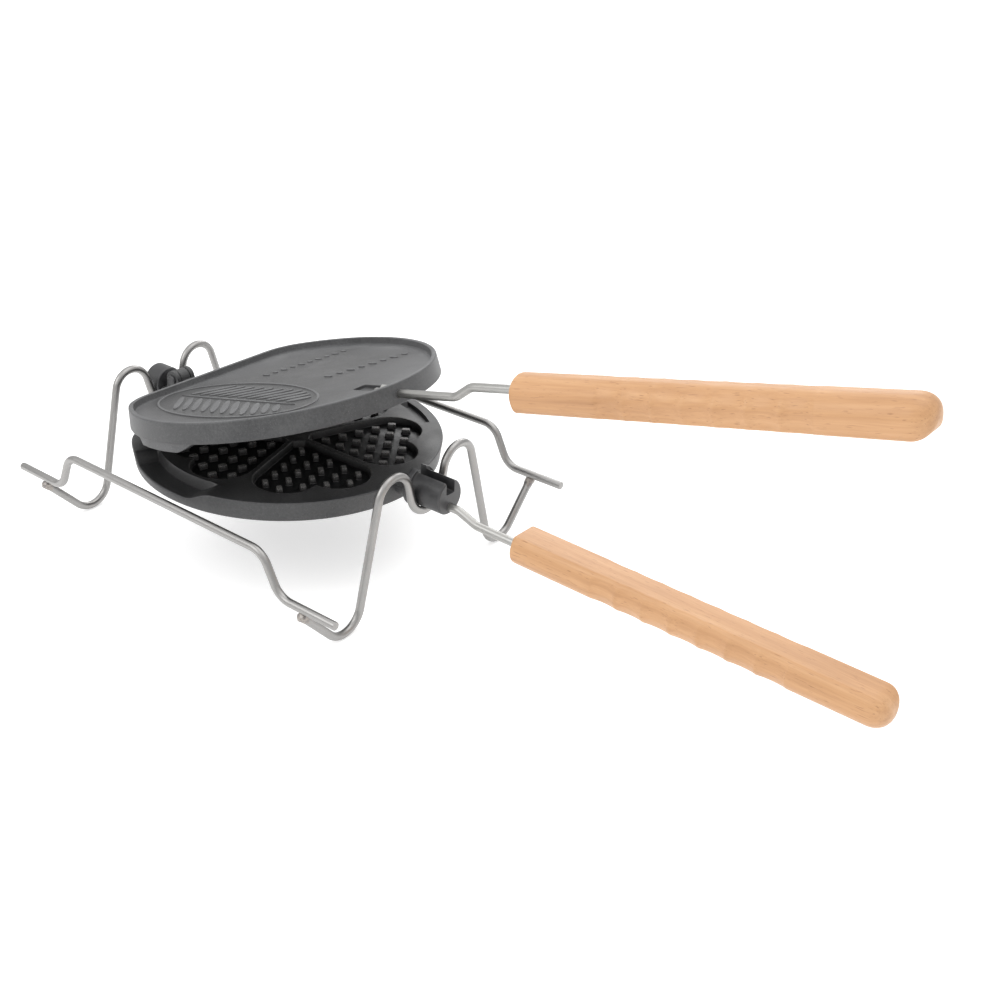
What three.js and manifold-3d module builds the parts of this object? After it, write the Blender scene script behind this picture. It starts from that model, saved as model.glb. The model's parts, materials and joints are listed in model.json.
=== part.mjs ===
// Cast-iron heart-waffle iron: two hinged plates on rods with wooden grips, turning in a wire stand.
// Millimetres, +Z up. +X runs from the hinge to the tips of the grips, +Y is the far side of the stand,
// the bends at the foot of the stand rest on z = 0, and the origin is the centre of the plan box.

import * as THREE from 'three';
import { mergeVertices } from 'three/addons/utils/BufferGeometryUtils.js';
import Module from 'manifold-3d';

const wasm = await Module();
wasm.setup();

// ---- driving dimensions -------------------------------------------------------------------------

const GAP = 0.3;                       // air between neighbouring pieces

// wire stand
const WIRE_R = 2.7;
const WIRE_SIDES = 8;
const BEND_STEP = THREE.MathUtils.degToRad(12);
const FRAME_X = 125;                   // plane of each end frame, either side of the stand's middle
const FOOT_Y = 78.3;                   // centre of each bend that stands on the floor
const FOOT_BEND_R = 15.8;
const HUMP_Y = 31;
const HUMP_Z = 77.5;
const HUMP_R = 14.3;
const RAIL_Y = 112;
const RAIL_LOW_Z = 37.8;
const RAIL_HIGH_Z = 64.8;
const RAIL_KINK_OUT_X = 105.9;         // where the low run would meet the slope, before bending
const RAIL_KINK_IN_X = 92.9;           // where the slope would meet the high run
const RAIL_BEND_R = 14;
const RAIL_END_X = 151.8;
const WELD_HALF = [5.6, 4.6, 3.4];     // half sizes of the weld metal along X, Y and Z
const WELD_IN = 0.4;                   // its middle, inwards and down from the rail's underside
const WELD_DOWN = 0.8;

// turning axis of the iron in the stand
const AXIS_Z = 72.7;
const IRON_TILT = THREE.MathUtils.degToRad(-1.9);  // how far the iron has rolled in the stand
const JOURNAL_R = 11.5;
const NOTCH_R = JOURNAL_R + 0.4 + WIRE_R;

// plate castings, drawn with the cooking side up and the parting face at z = 0
const PLATE_X = 2.5;                   // centre of the round outline, from the stand's middle
const PLATE_R = 105;
const PLATE_DEPTH = 13.5;
const PLATE_DRAFT = 1.7;
const CHORD_X = 78.9;                  // flat rear edge, from the centre of the outline
const CORNER_R = 35;
const BACK_LIP = 3.2;
const BACK_FLOOR_Z = -9;
const PARTING = 0.15;                  // half of the joint line between the closed plates

// heart moulds
const HEARTS = 5;
const HEARTS_X = 10.5;                 // centre of the rosette, from the stand's middle
const HEART_DEPTH = 5;
const RIB_HALF = 1.9;
const HEART_HALF = Math.PI / HEARTS;
const CLEFT_U = 74.7;                  // the notch between a heart's lobes, from the rosette's centre
const LOBE_SPREAD = 0.8;               // lobe centre beside the heart's axis, in lobe radii
const LOBE_RISE = Math.sqrt(1 - LOBE_SPREAD ** 2);
const LOBE_R = (CLEFT_U * Math.sin(HEART_HALF) - RIB_HALF)
  / (1 + LOBE_RISE * Math.sin(HEART_HALF) + LOBE_SPREAD * Math.cos(HEART_HALF));
const LOBE_U = CLEFT_U - LOBE_RISE * LOBE_R;
const LOBE_V = LOBE_SPREAD * LOBE_R;
const HEART_POINT_U = 9;
const STUD_LONG = 6;
const STUD_WIDE = 4;
const STUD_TOP_Z = -1.4;
const STUD_PITCH_U = 10.5;
const STUD_PITCH_V = 15;
const STUD_FIRST_U = 19.5;
const STUD_ROWS = 6;
const STUD_MARGIN = 1.4;

// interlocking lip: a tongue on one side of each casting drops into a dip on the other
const TONGUE_FOOT = [76, 113.5].map(THREE.MathUtils.degToRad);
const TONGUE_CREST = [87, 110].map(THREE.MathUtils.degToRad);
const TONGUE_TOP = 6.2;
const TONGUE_R_IN = 92;
const TONGUE_R_OUT = 103.4;
const DIP_BRIM = [-119, -72].map(THREE.MathUtils.degToRad);
const DIP_FLOOR = [-115.5, -84].map(THREE.MathUtils.degToRad);
const DIP_DEPTH = 7.4;
const DIP_R_IN = 88.8;

// shallow recess in the flange beside the tongue
const RECESS_BRIM = [53, 75.5].map(THREE.MathUtils.degToRad);
const RECESS_FLOOR = [53.5, 75].map(THREE.MathUtils.degToRad);
const RECESS_R_IN = 91.5;
const RECESS_R_OUT = 98;
const RECESS_DEPTH = 3;

// hinge behind the plates
const HINGE_X = -107.9;
const HINGE_Z = 8;                     // above the turning axis, plates closed
const OPEN_ANGLE = THREE.MathUtils.degToRad(13.5);
const HINGE_PIN_R = 2.5;
const PIN_HEAD_R = 3.7;
const PIN_HEAD_L = 1.5;
const PIN_HEAD_ROUND = 0.6;
const KNUCKLE_R = 6.2;
const KNUCKLE_HALF = 4;
const KNUCKLE_ARM = [-7.2, -2.6];      // from the parting face, on the upper plate
const EAR_IN = 4.4;
const EAR_OUT = 8;
const EAR_R = 6.4;
const EAR_FOOT = [-8, 11];             // along X, from the pin
const EAR_FOOT_Z = -6;
const ARM_HALF = 9.2;
const ARM_DEPTH = 9.4;
const ARM_BITE = 2.5;                  // how far both arms run into the castings

// trunnions
const BUSH_X0 = 116.6;
const BUSH_SHOULDER_X = 121.2;
const BUSH_X1 = 144.2;
const COLLAR_R = 13.5;
const BUSH_CHAMFER = 0.9;
const GROOVE_HALF = 3.9;
const GROOVE_Z = 2.6;
const NECK_R = 9.6;
const NECK_BITE = 3.5;
const DISC_X0 = -135.5;
const DISC_X1 = -121;
const SCREW_Z = -5;
const SCREW_R = 2.5;
const SCREW_HEAD_R = 4.6;
const SCREW_HEAD_L = 3.4;
const SCREW_LENGTH = 26;
const SCREW_ROUND = 0.5;
const SLOT_DEPTH = 1.4;
const SLOT_HALF = 0.6;

// rods and grips
const ROD_R = 2.75;
const ROD_SIDES = 10;
const ROD_Z = 6.5;                     // away from the parting face
const ROD_X0 = 87;
const ROD_BEND_R = 12;
const ROD_BEND_1_X = 149;
const ROD_BEND_2_X = 168;
const ROD_IN_GRIP = 60;
const NUT_FLATS = 9;
const NUT_THICK = 4.4;
const POCKET_X0 = 72;
const POCKET_NUT_X0 = 85;
const POCKET_X1 = 97.4;
const POCKET_HALF = 5.6;
const POCKET_Z = -7.2;
const POCKET_NUT_Z = -1.7;
const GRIP_LENGTH = 233.5;
const GRIP_FLAT_HALF = 9.6;
const GRIP_HALF = 12.8;
const GRIP_DEPTH = 20.9;
const GRIP_BELLY = 0.45 * GRIP_DEPTH;  // depth at which the grip is widest
const GRIP_AXIS = 10.8;                // rod centre, from the flat
const GRIP_TIP = 11;                   // length of the rounded tip
const GRIP_TIP_POWER = 2.25;
const GRIP_START = 1.5;                // length of the eased front end
const GRIP_START_SCALE = 0.93;
const SCALLOPS = 7;
const SCALLOP_FIRST = 65;
const SCALLOP_PITCH = 17.6;
const SCALLOP_DEPTH = 1.5;
// grips: front end, flat from the parting face, and slope
const LOWER_GRIP = { x: 200.3, flat: 2.1, pitch: THREE.MathUtils.degToRad(1.7) };
const UPPER_GRIP = { x: 201.4, flat: 2.5, pitch: 0 };

// how finely round parts are cut
const TURNED_SIDES = 32;
const BORE_SIDES = 16;
const PIN_SIDES = 20;
const NECK_SIDES = 24;
const RIM_STEPS = 52;
const CORNER_STEPS = 4;
const LOBE_STEPS = 9;
const LIP_STEPS = 8;
const EAR_STEPS = 8;

// ---- materials ----------------------------------------------------------------------------------

const satinSteel = new THREE.MeshStandardMaterial({ color: 0xb9bab6, roughness: 0.32, metalness: 1 });
const castIron = new THREE.MeshStandardMaterial({ color: 0x56575a, roughness: 0.62, metalness: 0.6 });
const blackIron = new THREE.MeshStandardMaterial({ color: 0x26272a, roughness: 0.5, metalness: 0.6 });
const zincSteel = new THREE.MeshStandardMaterial({ color: 0x9a9c9e, roughness: 0.4, metalness: 1 });
const beech = new THREE.MeshStandardMaterial({ color: 0xdfae7b, roughness: 0.6, metalness: 0 });

// ---- solids -------------------------------------------------------------------------------------

// A three.js geometry as a manifold solid: vertices shared, faces pointing out.
function solid(geometry) {
  const bare = geometry.clone();
  bare.deleteAttribute('normal');
  bare.deleteAttribute('uv');
  const merged = mergeVertices(bare, 1e-4);
  const mesh = new wasm.Mesh({
    numProp: 3,
    vertProperties: new Float32Array(merged.attributes.position.array),
    triVerts: new Uint32Array(merged.index.array),
  });
  return new wasm.Manifold(mesh);
}

function geometryOf(body) {
  const mesh = body.getMesh();
  const geometry = new THREE.BufferGeometry();
  geometry.setAttribute('position', new THREE.BufferAttribute(new Float32Array(mesh.vertProperties), 3));
  geometry.setIndex(new THREE.BufferAttribute(new Uint32Array(mesh.triVerts), 1));
  geometry.computeVertexNormals();
  return geometry;
}

function box(x0, x1, y0, y1, z0, z1) {
  const geometry = new THREE.BoxGeometry(x1 - x0, y1 - y0, z1 - z0);
  geometry.translate((x0 + x1) / 2, (y0 + y1) / 2, (z0 + z1) / 2);
  return solid(geometry);
}

// A turned piece about the X axis. The profile lists [x, radius], from axis to axis.
function turned(profile, sides, y = 0, z = 0) {
  const points = profile.map(([x, radius]) => new THREE.Vector2(radius, x));
  const geometry = new THREE.LatheGeometry(points, sides);
  geometry.rotateZ(-Math.PI / 2);
  geometry.translate(0, y, z);
  return solid(geometry);
}

function rod(x0, x1, radius, sides, y = 0, z = 0) {
  return turned([[x0, 0], [x0, radius], [x1, radius], [x1, 0]], sides, y, z);
}

// A closed body skinned over rings of equal length; each ring is a list of Vector3.
function skin(rings) {
  const count = rings[0].length;
  const positions = rings.flat().flatMap((point) => [point.x, point.y, point.z]);
  const index = [];
  for (let ring = 0; ring < rings.length - 1; ring += 1) {
    for (let i = 0; i < count; i += 1) {
      const a = ring * count + i;
      const b = ring * count + ((i + 1) % count);
      index.push(a, b, b + count, a, b + count, a + count);
    }
  }
  const capped = (ring, offset, flip) => {
    const flat = flattened(ring);
    for (const [a, b, c] of THREE.ShapeUtils.triangulateShape(flat, [])) {
      index.push(offset + a, offset + (flip ? c : b), offset + (flip ? b : c));
    }
  };
  capped(rings[0], 0, true);
  capped(rings.at(-1), (rings.length - 1) * count, false);
  const geometry = new THREE.BufferGeometry();
  geometry.setAttribute('position', new THREE.BufferAttribute(new Float32Array(positions), 3));
  geometry.setIndex(index);
  return geometry;
}

// The ring in its own plane: XY for a level ring, YZ for one that stands across X.
function flattened(ring) {
  const level = ring.every((point) => Math.abs(point.z - ring[0].z) < 1e-6);
  return ring.map((point) => (level ? new THREE.Vector2(point.x, point.y) : new THREE.Vector2(point.y, point.z)));
}

const atHeight = (outline, z) => outline.map(([x, y]) => new THREE.Vector3(x, y, z));

// ---- bent wire ----------------------------------------------------------------------------------

// Centre line of a wire bent in one plane round a row of pins. A pin is { at: [a, b], r, turn },
// turn +1 to the left and -1 to the right; the wire runs straight from pin to pin.
function bentLine(start, pins, end) {
  const stops = [{ at: start, r: 0, turn: 1 }, ...pins, { at: end, r: 0, turn: 1 }];
  const headings = [];
  for (let i = 0; i < stops.length - 1; i += 1) {
    const here = stops[i];
    const next = stops[i + 1];
    const da = next.at[0] - here.at[0];
    const db = next.at[1] - here.at[1];
    const lead = (here.r * here.turn - next.r * next.turn) / Math.hypot(da, db);
    headings.push(Math.atan2(db, da) + Math.asin(lead));
  }
  const stations = [{ at: start, heading: headings[0] }];
  pins.forEach((pin, i) => {
    const full = 2 * Math.PI;
    const swing = (((headings[i + 1] - headings[i]) * pin.turn) % full + full) % full;
    const steps = Math.max(2, Math.ceil(swing / BEND_STEP));
    for (let step = 0; step <= steps; step += 1) {
      const heading = headings[i] + (pin.turn * swing * step) / steps;
      const reach = pin.r * pin.turn;
      const at = [pin.at[0] + reach * Math.sin(heading), pin.at[1] - reach * Math.cos(heading)];
      stations.push({ at, heading });
    }
  });
  stations.push({ at: end, heading: headings.at(-1) });
  return stations;
}

// The centre line as a curve whose stations are the bends' own steps.
class WireCurve extends THREE.Curve {
  constructor(stations, place) {
    super();
    this.points = stations.map(({ at }) => place(at[0], at[1]));
    this.tangents = stations.map(({ at, heading }) => {
      const ahead = place(at[0] + Math.cos(heading), at[1] + Math.sin(heading));
      return ahead.sub(place(at[0], at[1])).normalize();
    });
  }

  getPoint(t) {
    const along = t * (this.points.length - 1);
    const before = Math.min(Math.floor(along), this.points.length - 2);
    return this.points[before].clone().lerp(this.points[before + 1], along - before);
  }

  getSpacedPoints() {
    return this.points;
  }

  getTangentAt(u) {
    return this.tangents[Math.round(u * (this.tangents.length - 1))].clone();
  }
}

function wire(stations, place, radius, sides) {
  const section = new THREE.Shape();
  for (let i = 0; i < sides; i += 1) {
    const angle = (2 * Math.PI * i) / sides;
    const corner = [radius * Math.cos(angle), radius * Math.sin(angle)];
    if (i === 0) section.moveTo(...corner);
    else section.lineTo(...corner);
  }
  const path = new WireCurve(stations, place);
  return new THREE.ExtrudeGeometry(section, { steps: stations.length - 1, extrudePath: path });
}

// ---- stand --------------------------------------------------------------------------------------

// One end frame: up from the rail, round a foot, over a hump, through the notch, and back the same way.
function endFrame(x) {
  const footZ = WIRE_R + FOOT_BEND_R;
  const start = [-RAIL_Y, RAIL_LOW_Z - 2 * WIRE_R - GAP];
  const pins = [
    { at: [-FOOT_Y, footZ], r: FOOT_BEND_R, turn: 1 },
    { at: [-HUMP_Y, HUMP_Z], r: HUMP_R, turn: -1 },
    { at: [0, AXIS_Z], r: NOTCH_R, turn: 1 },
    { at: [HUMP_Y, HUMP_Z], r: HUMP_R, turn: -1 },
    { at: [FOOT_Y, footZ], r: FOOT_BEND_R, turn: 1 },
  ];
  const stations = bentLine(start, pins, [RAIL_Y, start[1]]);
  return wire(stations, (y, z) => new THREE.Vector3(x, y, z), WIRE_R, WIRE_SIDES);
}

// One long rail: low at both free ends, stepped up between the end frames.
function rail(y) {
  const slope = Math.atan2(RAIL_HIGH_Z - RAIL_LOW_Z, RAIL_KINK_OUT_X - RAIL_KINK_IN_X);
  const run = RAIL_BEND_R * Math.tan(slope / 2);
  const low = [RAIL_KINK_OUT_X + run, RAIL_LOW_Z + RAIL_BEND_R];
  const high = [RAIL_KINK_IN_X - run, RAIL_HIGH_Z - RAIL_BEND_R];
  const pins = [
    { at: [-low[0], low[1]], r: RAIL_BEND_R, turn: 1 },
    { at: [-high[0], high[1]], r: RAIL_BEND_R, turn: -1 },
    { at: high, r: RAIL_BEND_R, turn: -1 },
    { at: low, r: RAIL_BEND_R, turn: 1 },
  ];
  const stations = bentLine([-RAIL_END_X, RAIL_LOW_Z], pins, [RAIL_END_X, RAIL_LOW_Z]);
  return wire(stations, (x, z) => new THREE.Vector3(x, y, z), WIRE_R, WIRE_SIDES);
}

// Weld metal in the corner between a rail and the end of a frame below it.
function weldBead(x, side) {
  const bead = new THREE.SphereGeometry(1, 14, 10);
  bead.scale(...WELD_HALF);
  bead.translate(x, side * (RAIL_Y - WELD_IN), RAIL_LOW_Z - WIRE_R - WELD_DOWN);
  const reach = 2 * WELD_HALF[0];
  const railClear = rod(x - reach, x + reach, WIRE_R + GAP, 16, side * RAIL_Y, RAIL_LOW_Z);
  const frameClear = wire(
    [{ at: [0, 0], heading: 0 }, { at: [2 * reach, 0], heading: 0 }],
    (along) => footLine(x, side, along - GAP),
    WIRE_R + GAP,
    12,
  );
  return geometryOf(solid(bead).subtract(railClear).subtract(solid(frameClear)));
}

// A point on the straight end of a frame, `along` millimetres from its cut end towards the foot.
function footLine(x, side, along) {
  const top = RAIL_LOW_Z - 2 * WIRE_R - GAP;
  const footZ = WIRE_R + FOOT_BEND_R;
  const [start, tangent] = bentLine([-RAIL_Y, top], [{ at: [-FOOT_Y, footZ], r: FOOT_BEND_R, turn: 1 }], [0, 200]);
  const dy = tangent.at[0] - start.at[0];
  const dz = tangent.at[1] - start.at[1];
  const step = along / Math.hypot(dy, dz);
  return new THREE.Vector3(x, -side * (start.at[0] + dy * step), start.at[1] + dz * step);
}

// ---- plate castings -----------------------------------------------------------------------------

function arc(x, y, radius, from, to, steps) {
  const points = [];
  for (let i = 0; i <= steps; i += 1) {
    const angle = from + ((to - from) * i) / steps;
    points.push([x + radius * Math.cos(angle), y + radius * Math.sin(angle)]);
  }
  return points;
}

// Round outline with a flat rear edge, drawn `inset` inside the true edge.
function plateOutline(inset) {
  const radius = PLATE_R - inset;
  const corner = CORNER_R - inset;
  const cornerX = CORNER_R - CHORD_X;
  const cornerY = Math.sqrt((radius - corner) ** 2 - cornerX ** 2);
  const meet = Math.atan2(cornerY, cornerX);
  const outline = [
    ...arc(0, 0, radius, -meet, meet, RIM_STEPS),
    ...arc(cornerX, cornerY, corner, meet, Math.PI, CORNER_STEPS).slice(1),
    ...arc(cornerX, -cornerY, corner, -Math.PI, -meet, CORNER_STEPS).slice(0, -1),
  ];
  return outline.map(([x, y]) => [x + PLATE_X, y]);
}

// Heart outline in its own axes, point towards the middle of the plate, drawn `inset` inside the wall.
function heartOutline(inset) {
  const pointV = (HEART_POINT_U + inset) * Math.tan(HEART_HALF) - (RIB_HALF + inset) / Math.cos(HEART_HALF);
  const side = Math.PI / 2 + HEART_HALF;
  const cleft = Math.asin(LOBE_V / (LOBE_R - inset));
  return [
    [HEART_POINT_U + inset, -pointV],
    ...arc(LOBE_U, -LOBE_V, LOBE_R - inset, -side, cleft, LOBE_STEPS),
    ...arc(LOBE_U, LOBE_V, LOBE_R - inset, -cleft, side, LOBE_STEPS).slice(1),
    [HEART_POINT_U + inset, pointV],
  ];
}

function inside([x, y], outline) {
  let odd = false;
  outline.forEach(([ax, ay], i) => {
    const [bx, by] = outline[(i + 1) % outline.length];
    if (ay > y !== by > y && x < ax + ((y - ay) * (bx - ax)) / (by - ay)) odd = !odd;
  });
  return odd;
}

// Places of the studs of one heart: rows across its axis, every other row shifted by half a pitch.
function studPlaces() {
  const limit = heartOutline(STUD_MARGIN);
  const corners = [[1, 1], [1, -1], [-1, 1], [-1, -1]];
  const places = [];
  for (let row = 0; row < STUD_ROWS; row += 1) {
    const u = STUD_FIRST_U + row * STUD_PITCH_U;
    for (let column = -3; column <= 3; column += 1) {
      const v = (column + (row % 2) / 2) * STUD_PITCH_V;
      const fits = corners.every(([du, dv]) => inside([u + (du * STUD_LONG) / 2, v + (dv * STUD_WIDE) / 2], limit));
      if (fits) places.push([u, v]);
    }
  }
  return places;
}

// The metal to take away for one heart: its mould, less the studs that stand in it.
function heartCut() {
  const shape = new THREE.Shape(heartOutline(0).map(([u, v]) => new THREE.Vector2(u, v)));
  const mould = new THREE.ExtrudeGeometry(shape, { depth: HEART_DEPTH + 1, bevelEnabled: false });
  mould.translate(0, 0, -HEART_DEPTH);
  const studs = studPlaces().map(([u, v]) => {
    const du = STUD_LONG / 2;
    const dv = STUD_WIDE / 2;
    return box(u - du, u + du, v - dv, v + dv, -HEART_DEPTH - 1, STUD_TOP_Z);
  });
  return solid(mould).subtract(wasm.Manifold.union(studs));
}

// A block that follows the rim between two radii; its ends slope from the low span to the high one.
function rimBlock(radii, low, high) {
  const ring = ({ span, z }) => {
    const outline = [
      ...arc(PLATE_X, 0, radii[1], span[0], span[1], LIP_STEPS),
      ...arc(PLATE_X, 0, radii[0], span[1], span[0], LIP_STEPS),
    ];
    return atHeight(outline, z);
  };
  return solid(skin([ring(low), ring(high)]));
}

// One plate without its hinge parts: drafted rim, sunk back, heart moulds, lip, rod hole and nut pocket.
function plateCasting() {
  const backZ = -PLATE_DEPTH;
  const body = solid(skin([atHeight(plateOutline(PLATE_DRAFT), backZ), atHeight(plateOutline(0), -PARTING)]));
  const back = solid(skin([
    atHeight(plateOutline(PLATE_DRAFT + BACK_LIP), backZ - 1),
    atHeight(plateOutline(PLATE_DRAFT + BACK_LIP + 0.6), BACK_FLOOR_Z),
  ]));
  const tongue = rimBlock(
    [TONGUE_R_IN, TONGUE_R_OUT],
    { span: TONGUE_FOOT, z: -1 },
    { span: TONGUE_CREST, z: TONGUE_TOP },
  );
  const dip = rimBlock([DIP_R_IN, PLATE_R + 4], { span: DIP_FLOOR, z: -DIP_DEPTH }, { span: DIP_BRIM, z: 1 });
  const recess = rimBlock(
    [RECESS_R_IN, RECESS_R_OUT],
    { span: RECESS_FLOOR, z: -RECESS_DEPTH },
    { span: RECESS_BRIM, z: 1 },
  );
  let casting = body.subtract(back).subtract(dip).subtract(recess).add(tongue);
  const cut = heartCut();
  for (let heart = 0; heart < HEARTS; heart += 1) {
    const degrees = (360 / HEARTS) * (heart + 0.5);
    casting = casting.subtract(cut.rotate([0, 0, degrees]).translate([HEARTS_X, 0, 0]));
  }
  const throughWall = rod(POCKET_X1 - 1, BUSH_X1, ROD_R + GAP, BORE_SIDES, 0, -ROD_Z);
  const run = box(POCKET_X0, POCKET_X1, -POCKET_HALF, POCKET_HALF, backZ, POCKET_Z);
  const nutSeat = box(POCKET_NUT_X0, POCKET_X1, -POCKET_HALF, POCKET_HALF, backZ, POCKET_NUT_Z);
  return { casting: casting.subtract(run).subtract(nutSeat), throughWall };
}

// A cylinder along Y, for pins and their holes.
function crossRod(y0, y1, radius, sides, x, z) {
  return rod(y0, y1, radius, sides).rotate([0, 0, 90]).translate([x, 0, z]);
}

// One ear of the fork on the lower plate, round about the hinge pin.
function hingeEar(y0) {
  const outline = [
    [HINGE_X + EAR_FOOT[0], EAR_FOOT_Z],
    [HINGE_X + EAR_FOOT[1], EAR_FOOT_Z],
    ...arc(HINGE_X, HINGE_Z, EAR_R, THREE.MathUtils.degToRad(20), THREE.MathUtils.degToRad(170), EAR_STEPS),
  ];
  const shape = new THREE.Shape(outline.map(([x, z]) => new THREE.Vector2(x, z)));
  const geometry = new THREE.ExtrudeGeometry(shape, { depth: EAR_OUT - EAR_IN, bevelEnabled: false });
  geometry.rotateX(Math.PI / 2);
  geometry.translate(0, y0 + EAR_OUT - EAR_IN, 0);
  return solid(geometry);
}

// Lower plate: with the neck that holds the front bush, and the arm and fork of the hinge.
function lowerPlate() {
  const { casting, throughWall } = plateCasting();
  const neckX = BUSH_X0 - GAP;
  const neck = rod(PLATE_X + PLATE_R - NECK_BITE, neckX, NECK_R, NECK_SIDES).trimByPlane([0, 0, -1], PARTING);
  const armX = DISC_X1 + GAP;
  const arm = box(armX, PLATE_X - CHORD_X + ARM_BITE, -ARM_HALF, ARM_HALF, -ARM_DEPTH, -PARTING - GAP);
  const fork = hingeEar(EAR_IN).add(hingeEar(-EAR_OUT));
  const pinHole = crossRod(-EAR_OUT - 1, EAR_OUT + 1, HINGE_PIN_R + GAP, PIN_SIDES, HINGE_X, HINGE_Z);
  const screwHole = rod(armX - 1, DISC_X0 + SCREW_LENGTH + 2 * GAP, SCREW_R + GAP, BORE_SIDES, 0, SCREW_Z);
  return casting.add(neck).add(arm).add(fork).subtract(throughWall).subtract(pinHole).subtract(screwHole);
}

// Upper plate, in the same cooking-side-up frame: its knuckle lies between the ears of the fork.
function upperPlate() {
  const { casting, throughWall } = plateCasting();
  const knuckle = crossRod(-KNUCKLE_HALF, KNUCKLE_HALF, KNUCKLE_R, PIN_SIDES, HINGE_X, -HINGE_Z);
  const arm = box(HINGE_X, PLATE_X - CHORD_X + ARM_BITE, -KNUCKLE_HALF, KNUCKLE_HALF, ...KNUCKLE_ARM);
  const pinHole = crossRod(-KNUCKLE_HALF - 1, KNUCKLE_HALF + 1, HINGE_PIN_R + GAP, PIN_SIDES, HINGE_X, -HINGE_Z);
  return casting.add(knuckle).add(arm).subtract(throughWall).subtract(pinHole);
}

// ---- hinge pin and trunnions --------------------------------------------------------------------

function hingePin() {
  const shoulder = EAR_OUT + GAP;
  const end = shoulder + PIN_HEAD_L;
  const half = [
    [shoulder, HINGE_PIN_R], [shoulder, PIN_HEAD_R], [end - PIN_HEAD_ROUND, PIN_HEAD_R],
    [end, PIN_HEAD_R - PIN_HEAD_ROUND], [end, 0],
  ];
  const profile = [...half.map(([x, radius]) => [-x, radius]).reverse(), ...half];
  return turned(profile, PIN_SIDES).rotate([0, 0, 90]).translate([HINGE_X, 0, HINGE_Z]);
}

// Front bush: turns in the stand's notch, and its groove takes the upper rod when the plates close.
function frontBush() {
  const profile = [
    [BUSH_X0, 0], [BUSH_X0, COLLAR_R], [BUSH_SHOULDER_X, COLLAR_R], [BUSH_SHOULDER_X, JOURNAL_R],
    [BUSH_X1 - BUSH_CHAMFER, JOURNAL_R], [BUSH_X1, JOURNAL_R - BUSH_CHAMFER], [BUSH_X1, 0],
  ];
  const bore = rod(BUSH_X0 - 1, BUSH_X1 + 1, ROD_R + GAP, BORE_SIDES, 0, -ROD_Z);
  const groove = box(BUSH_X0 - 1, BUSH_X1 + 1, -GROOVE_HALF, GROOVE_HALF, GROOVE_Z, COLLAR_R + 1);
  return turned(profile, TURNED_SIDES).subtract(bore).subtract(groove);
}

function rearDisc() {
  const profile = [
    [DISC_X0, 0], [DISC_X0, JOURNAL_R - BUSH_CHAMFER], [DISC_X0 + BUSH_CHAMFER, JOURNAL_R],
    [DISC_X1 - BUSH_CHAMFER, JOURNAL_R], [DISC_X1, JOURNAL_R - BUSH_CHAMFER], [DISC_X1, 0],
  ];
  const bore = rod(DISC_X0 - 1, DISC_X1 + 1, SCREW_R + GAP, BORE_SIDES, 0, SCREW_Z);
  const headSeat = rod(DISC_X0 - 1, DISC_X0 + SCREW_HEAD_L + 2 * GAP, SCREW_HEAD_R + GAP, PIN_SIDES, 0, SCREW_Z);
  return turned(profile, TURNED_SIDES).subtract(bore).subtract(headSeat);
}

function rearScrew() {
  const head = DISC_X0 + GAP;
  const under = head + SCREW_HEAD_L;
  const tip = head + SCREW_LENGTH;
  const profile = [
    [head, 0], [head, SCREW_HEAD_R - SCREW_ROUND], [head + SCREW_ROUND, SCREW_HEAD_R], [under, SCREW_HEAD_R],
    [under, SCREW_R], [tip - 2 * SCREW_ROUND, SCREW_R], [tip, SCREW_R - 2 * SCREW_ROUND], [tip, 0],
  ];
  const slot = box(
    head - 1,
    head + SLOT_DEPTH,
    -SCREW_HEAD_R,
    SCREW_HEAD_R,
    SCREW_Z - SLOT_HALF,
    SCREW_Z + SLOT_HALF,
  );
  return turned(profile, BORE_SIDES, 0, SCREW_Z).subtract(slot);
}

// ---- rods, nuts and grips -----------------------------------------------------------------------

// A rod from the nut pocket, out through the rim, stepped away from the parting face, into its grip.
function handleRod({ x: gripX, flat, pitch }) {
  const onGripAxis = (along) => [
    gripX + along * Math.cos(pitch) - GRIP_AXIS * Math.sin(pitch),
    -flat - along * Math.sin(pitch) - GRIP_AXIS * Math.cos(pitch),
  ];
  const tangent = onGripAxis(ROD_BEND_2_X - gripX);
  const pins = [
    { at: [ROD_BEND_1_X, -ROD_Z - ROD_BEND_R], r: ROD_BEND_R, turn: -1 },
    {
      at: [tangent[0] + ROD_BEND_R * Math.sin(pitch), tangent[1] + ROD_BEND_R * Math.cos(pitch)],
      r: ROD_BEND_R,
      turn: 1,
    },
  ];
  const stations = bentLine([ROD_X0, -ROD_Z], pins, onGripAxis(ROD_IN_GRIP));
  return wire(stations, (x, z) => new THREE.Vector3(x, 0, z), ROD_R, ROD_SIDES);
}

function rodNut() {
  const x1 = POCKET_X1 - GAP;
  const corner = NUT_FLATS / Math.sqrt(3);
  const hex = rod(x1 - NUT_THICK, x1, corner, 6, 0, 0).rotate([30, 0, 0]).translate([0, 0, -ROD_Z]);
  return hex.subtract(rod(x1 - NUT_THICK - 1, x1 + 1, ROD_R + GAP, BORE_SIDES, 0, -ROD_Z));
}

// Cross-section of a grip: flat on top, bulging sides, round underneath.
function gripRing(x, scale, halfWidth) {
  const edge = Math.acos(GRIP_FLAT_HALF / GRIP_HALF);
  const shoulder = GRIP_BELLY / Math.sin(edge);
  const angles = [-Math.PI - edge, -Math.PI - edge / 2];
  for (let i = 8; i >= 0; i -= 1) angles.push((-Math.PI * i) / 8);
  angles.push(edge / 2, edge);
  return angles.map((angle) => {
    const height = Math.sin(angle) > 0 ? shoulder : GRIP_DEPTH - GRIP_BELLY;
    const y = halfWidth * Math.cos(angle);
    const z = -GRIP_BELLY + height * Math.sin(angle);
    return new THREE.Vector3(x, y * scale, -GRIP_AXIS + (z + GRIP_AXIS) * scale);
  });
}

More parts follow.
